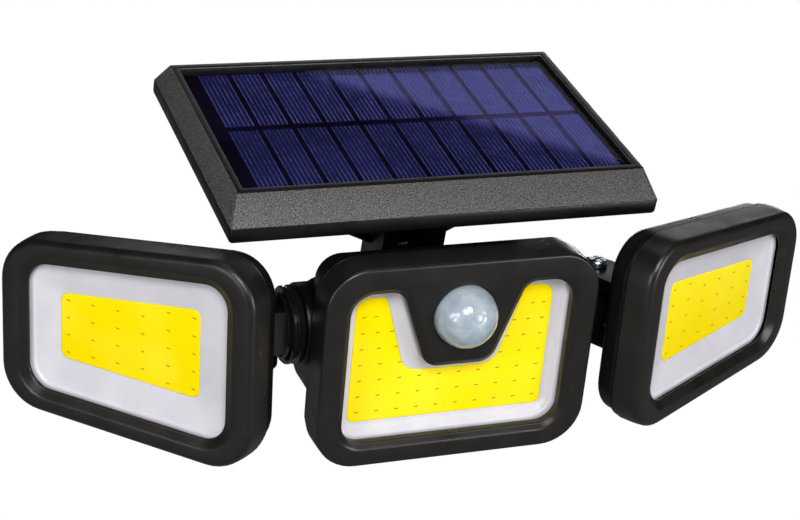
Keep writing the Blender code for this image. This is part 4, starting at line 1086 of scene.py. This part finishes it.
def head_spots():
    """Chip marks: six columns, five rows in the two inner ones and four in the rest."""
    across, up = HEAD_DOTS
    spots = []
    for column in range(6):
        rows = 5 if column < 2 else 4
        for row in range(rows):
            spots.append((HEAD_DOT_START + column * across, (row - (rows - 1) / 2.0) * up))
    return spots


def build_head(side):
    sign, body, place = SIDES[side], f"{side}_head", head_frame(side)
    build_head_bezel(side, body, place)
    build_rear_shell(side, body, place)
    y = HEAD_LIGHT_Y + 0.9
    build_window(side, HEAD_WINDOW, HEAD_WINDOW_R, y, body, place, sign)
    build_tray(side, HEAD_WINDOW, HEAD_WINDOW_R, HEAD_LIGHT, HEAD_LIGHT_R, y, body, place, sign)
    build_phosphor(side, HEAD_LIGHT, HEAD_LIGHT_R, y, body, place, sign)
    build_marks(f"{side}_chip_marks", head_spots(), HEAD_MARK, y, body, place, sign)
    back = HEAD_BACK_Y + HEAD_LIGHT_Y
    for number, (x, z) in enumerate(HEAD_SCREWS, 1):
        spot = place @ shift(sign * x, back + GAP, z) @ BACKWARDS
        screw(f"{side}_case_screw_{number}", HEAD_SCREW, body, spot)
    length = EAR_TOP - EAR_BOTTOM + 3.6
    screw(f"{side}_hinge_screw", (*HINGE_SCREW, length), body, place @ shift(0.0, 0.0, EAR_TOP + GAP))
    low = place @ shift(0.0, 0.0, EAR_BOTTOM - GAP - HINGE_NUT[1])
    hex_nut(f"{side}_hinge_nut", *HINGE_NUT, body, low)


# --- Carried-over CAD nodes
def dress_cad_nodes():
    """Give each CAD node its slot's finish, and soften the edges of the ones that stay in sight."""
    for name, obj in frame["nodes"].items():
        obj.data.materials.clear()
        obj.data.materials.append(FINISH[SLOT_FINISH[SLOTS[name]]])
    for name in ("wall_bracket", "panel_back_cover"):
        step = frame["nodes"][name].modifiers.new("soft_edges", "BEVEL")
        step.width = 0.6 * MM
        step.segments = 3
        step.limit_method = "ANGLE"
        step.angle_limit = math.radians(40.0)


# --- Stage
def stage_sheet(name, corners, mat):
    """A four-cornered sheet that belongs to the studio and not to the object."""
    mesh = bpy.data.meshes.new(name)
    mesh.from_pydata(corners, [], [(0, 1, 2, 3)])
    mesh.materials.append(mat.material)
    sheet = linked(name, mesh)
    return sheet


def build_floor():
    """Pale floor that the camera sees as plain white."""
    mat = Nodes("floor_pale")
    mat.set(Roughness=0.9, Specular_IOR_Level=0.1)
    mat.drive("Base Color", mat.noise(400.0), 0.30, 0.32)
    white = mat.new("ShaderNodeEmission")
    mix = mat.new("ShaderNodeMixShader")
    mat.link(mat.new("ShaderNodeLightPath").outputs["Is Camera Ray"], mix.inputs["Fac"])
    mat.link(mat.shader.outputs[0], mix.inputs[1])
    mat.link(white.outputs[0], mix.inputs[2])
    mat.link(mix.outputs[0], mat.output.inputs["Surface"])
    half, z = FLOOR_HALF * MM, CAD_BOX[0][2] - FLOOR_DROP * MM
    stage_sheet("floor", [(x, y, z) for x, y in corners_of((-half, half, -half, half))], mat)


def build_world():
    """White to the eye, and to the object a studio: bright in front, dim above and behind."""
    world = bpy.data.worlds.new("studio")
    bpy.context.scene.world = world
    world.use_nodes = True
    tree = world.node_tree
    split = tree.nodes.new("ShaderNodeSeparateXYZ")
    tree.links.new(tree.nodes.new("ShaderNodeTexCoord").outputs["Generated"], split.inputs[0])
    ramp = tree.nodes.new("ShaderNodeMapRange")
    ramp.inputs["From Min"].default_value, ramp.inputs["From Max"].default_value = SKY_TURN
    ramp.inputs["To Min"].default_value, ramp.inputs["To Max"].default_value = SKY_LIGHT
    tree.links.new(split.outputs["Y"], ramp.inputs["Value"])
    mix = tree.nodes.new("ShaderNodeMix")
    mix.data_type = "FLOAT"
    tree.links.new(tree.nodes.new("ShaderNodeLightPath").outputs["Is Camera Ray"], mix.inputs["Factor"])
    tree.links.new(ramp.outputs["Result"], mix.inputs["A"])
    mix.inputs["B"].default_value = 1.0
    background = tree.nodes["Background"]
    background.inputs["Color"].default_value = (1.0, 1.0, 1.0, 1.0)
    tree.links.new(mix.outputs["Result"], background.inputs["Strength"])


def build_lights():
    for name, (place, size, power) in LIGHTS.items():
        data = bpy.data.lights.new(name, "AREA")
        data.shape = "RECTANGLE"
        data.size, data.size_y = size
        data.energy = power
        obj = linked(name, data)
        obj.location = place
        obj.rotation_euler = (Vector(LIGHT_TARGET) - Vector(place)).to_track_quat("-Z", "Y").to_euler()


def build_glare_card(eye):
    """A white card behind the lamp that the cells mirror: its edge runs across them slantwise."""
    place = panel_frame()
    normal = (place.to_3x3() @ Vector((0.0, 0.0, 1.0))).normalized()

    def mirrored(x, y):
        spot = place @ (Vector((x, y, -LIP_DROP - APPARENT_DEPTH)) * MM)
        ray = (spot - eye).normalized()
        ray -= normal * 2.0 * ray.dot(normal)
        return spot + ray * CARD_DISTANCE * MM

    start, stop = [mirrored(*point) for point in GLARE_EDGE]
    along = (stop - start).normalized()
    away = mirrored(*GLARE_SIDE) - start
    away = (away - along * away.dot(along)).normalized() * CARD_SIZE * MM
    start, stop = start - along * CARD_OVERRUN * MM, stop + along * CARD_OVERRUN * MM
    mat = Nodes("card_white")
    glow = mat.new("ShaderNodeEmission")
    mat.link(mat.ramp(mat.noise(300.0), 0.97, 1.0), glow.inputs["Color"])
    mat.link(glow.outputs[0], mat.output.inputs["Surface"])
    card = stage_sheet("glare_card", [start, stop, stop + away, start + away], mat)
    card.visible_camera = card.visible_diffuse = card.visible_shadow = False


def build_camera():
    azimuth, elevation = math.radians(CAMERA_AZIMUTH), math.radians(CAMERA_ELEVATION)
    roll = math.radians(CAMERA_ROLL)
    right = Vector((math.cos(azimuth), math.sin(azimuth), 0.0))
    front = Vector((math.sin(azimuth), -math.cos(azimuth), 0.0))
    back = front * math.cos(elevation) + Vector((0.0, 0.0, math.sin(elevation)))
    up = back.cross(right)
    turned_right = right * math.cos(roll) + up * math.sin(roll)
    turned_up = up * math.cos(roll) - right * math.sin(roll)
    data = bpy.data.cameras.new("camera")
    data.lens = CAMERA_LENS
    camera = linked("camera", data)
    turn = Matrix((turned_right, turned_up, back)).transposed().to_4x4()
    camera.matrix_world = shift(*(Vector(CAMERA_TARGET) + back * CAMERA_DISTANCE)) @ turn
    bpy.context.scene.camera = camera
    return camera


def build():
    dress_cad_nodes()
    build_panel()
    build_centre_lamp()
    for side in SIDES:
        build_arm(side)
        build_head(side)
    build_floor()
    build_world()
    build_lights()
    build_glare_card(build_camera().matrix_world.translation)
    bpy.context.scene.view_settings.view_transform = "Standard"


build()
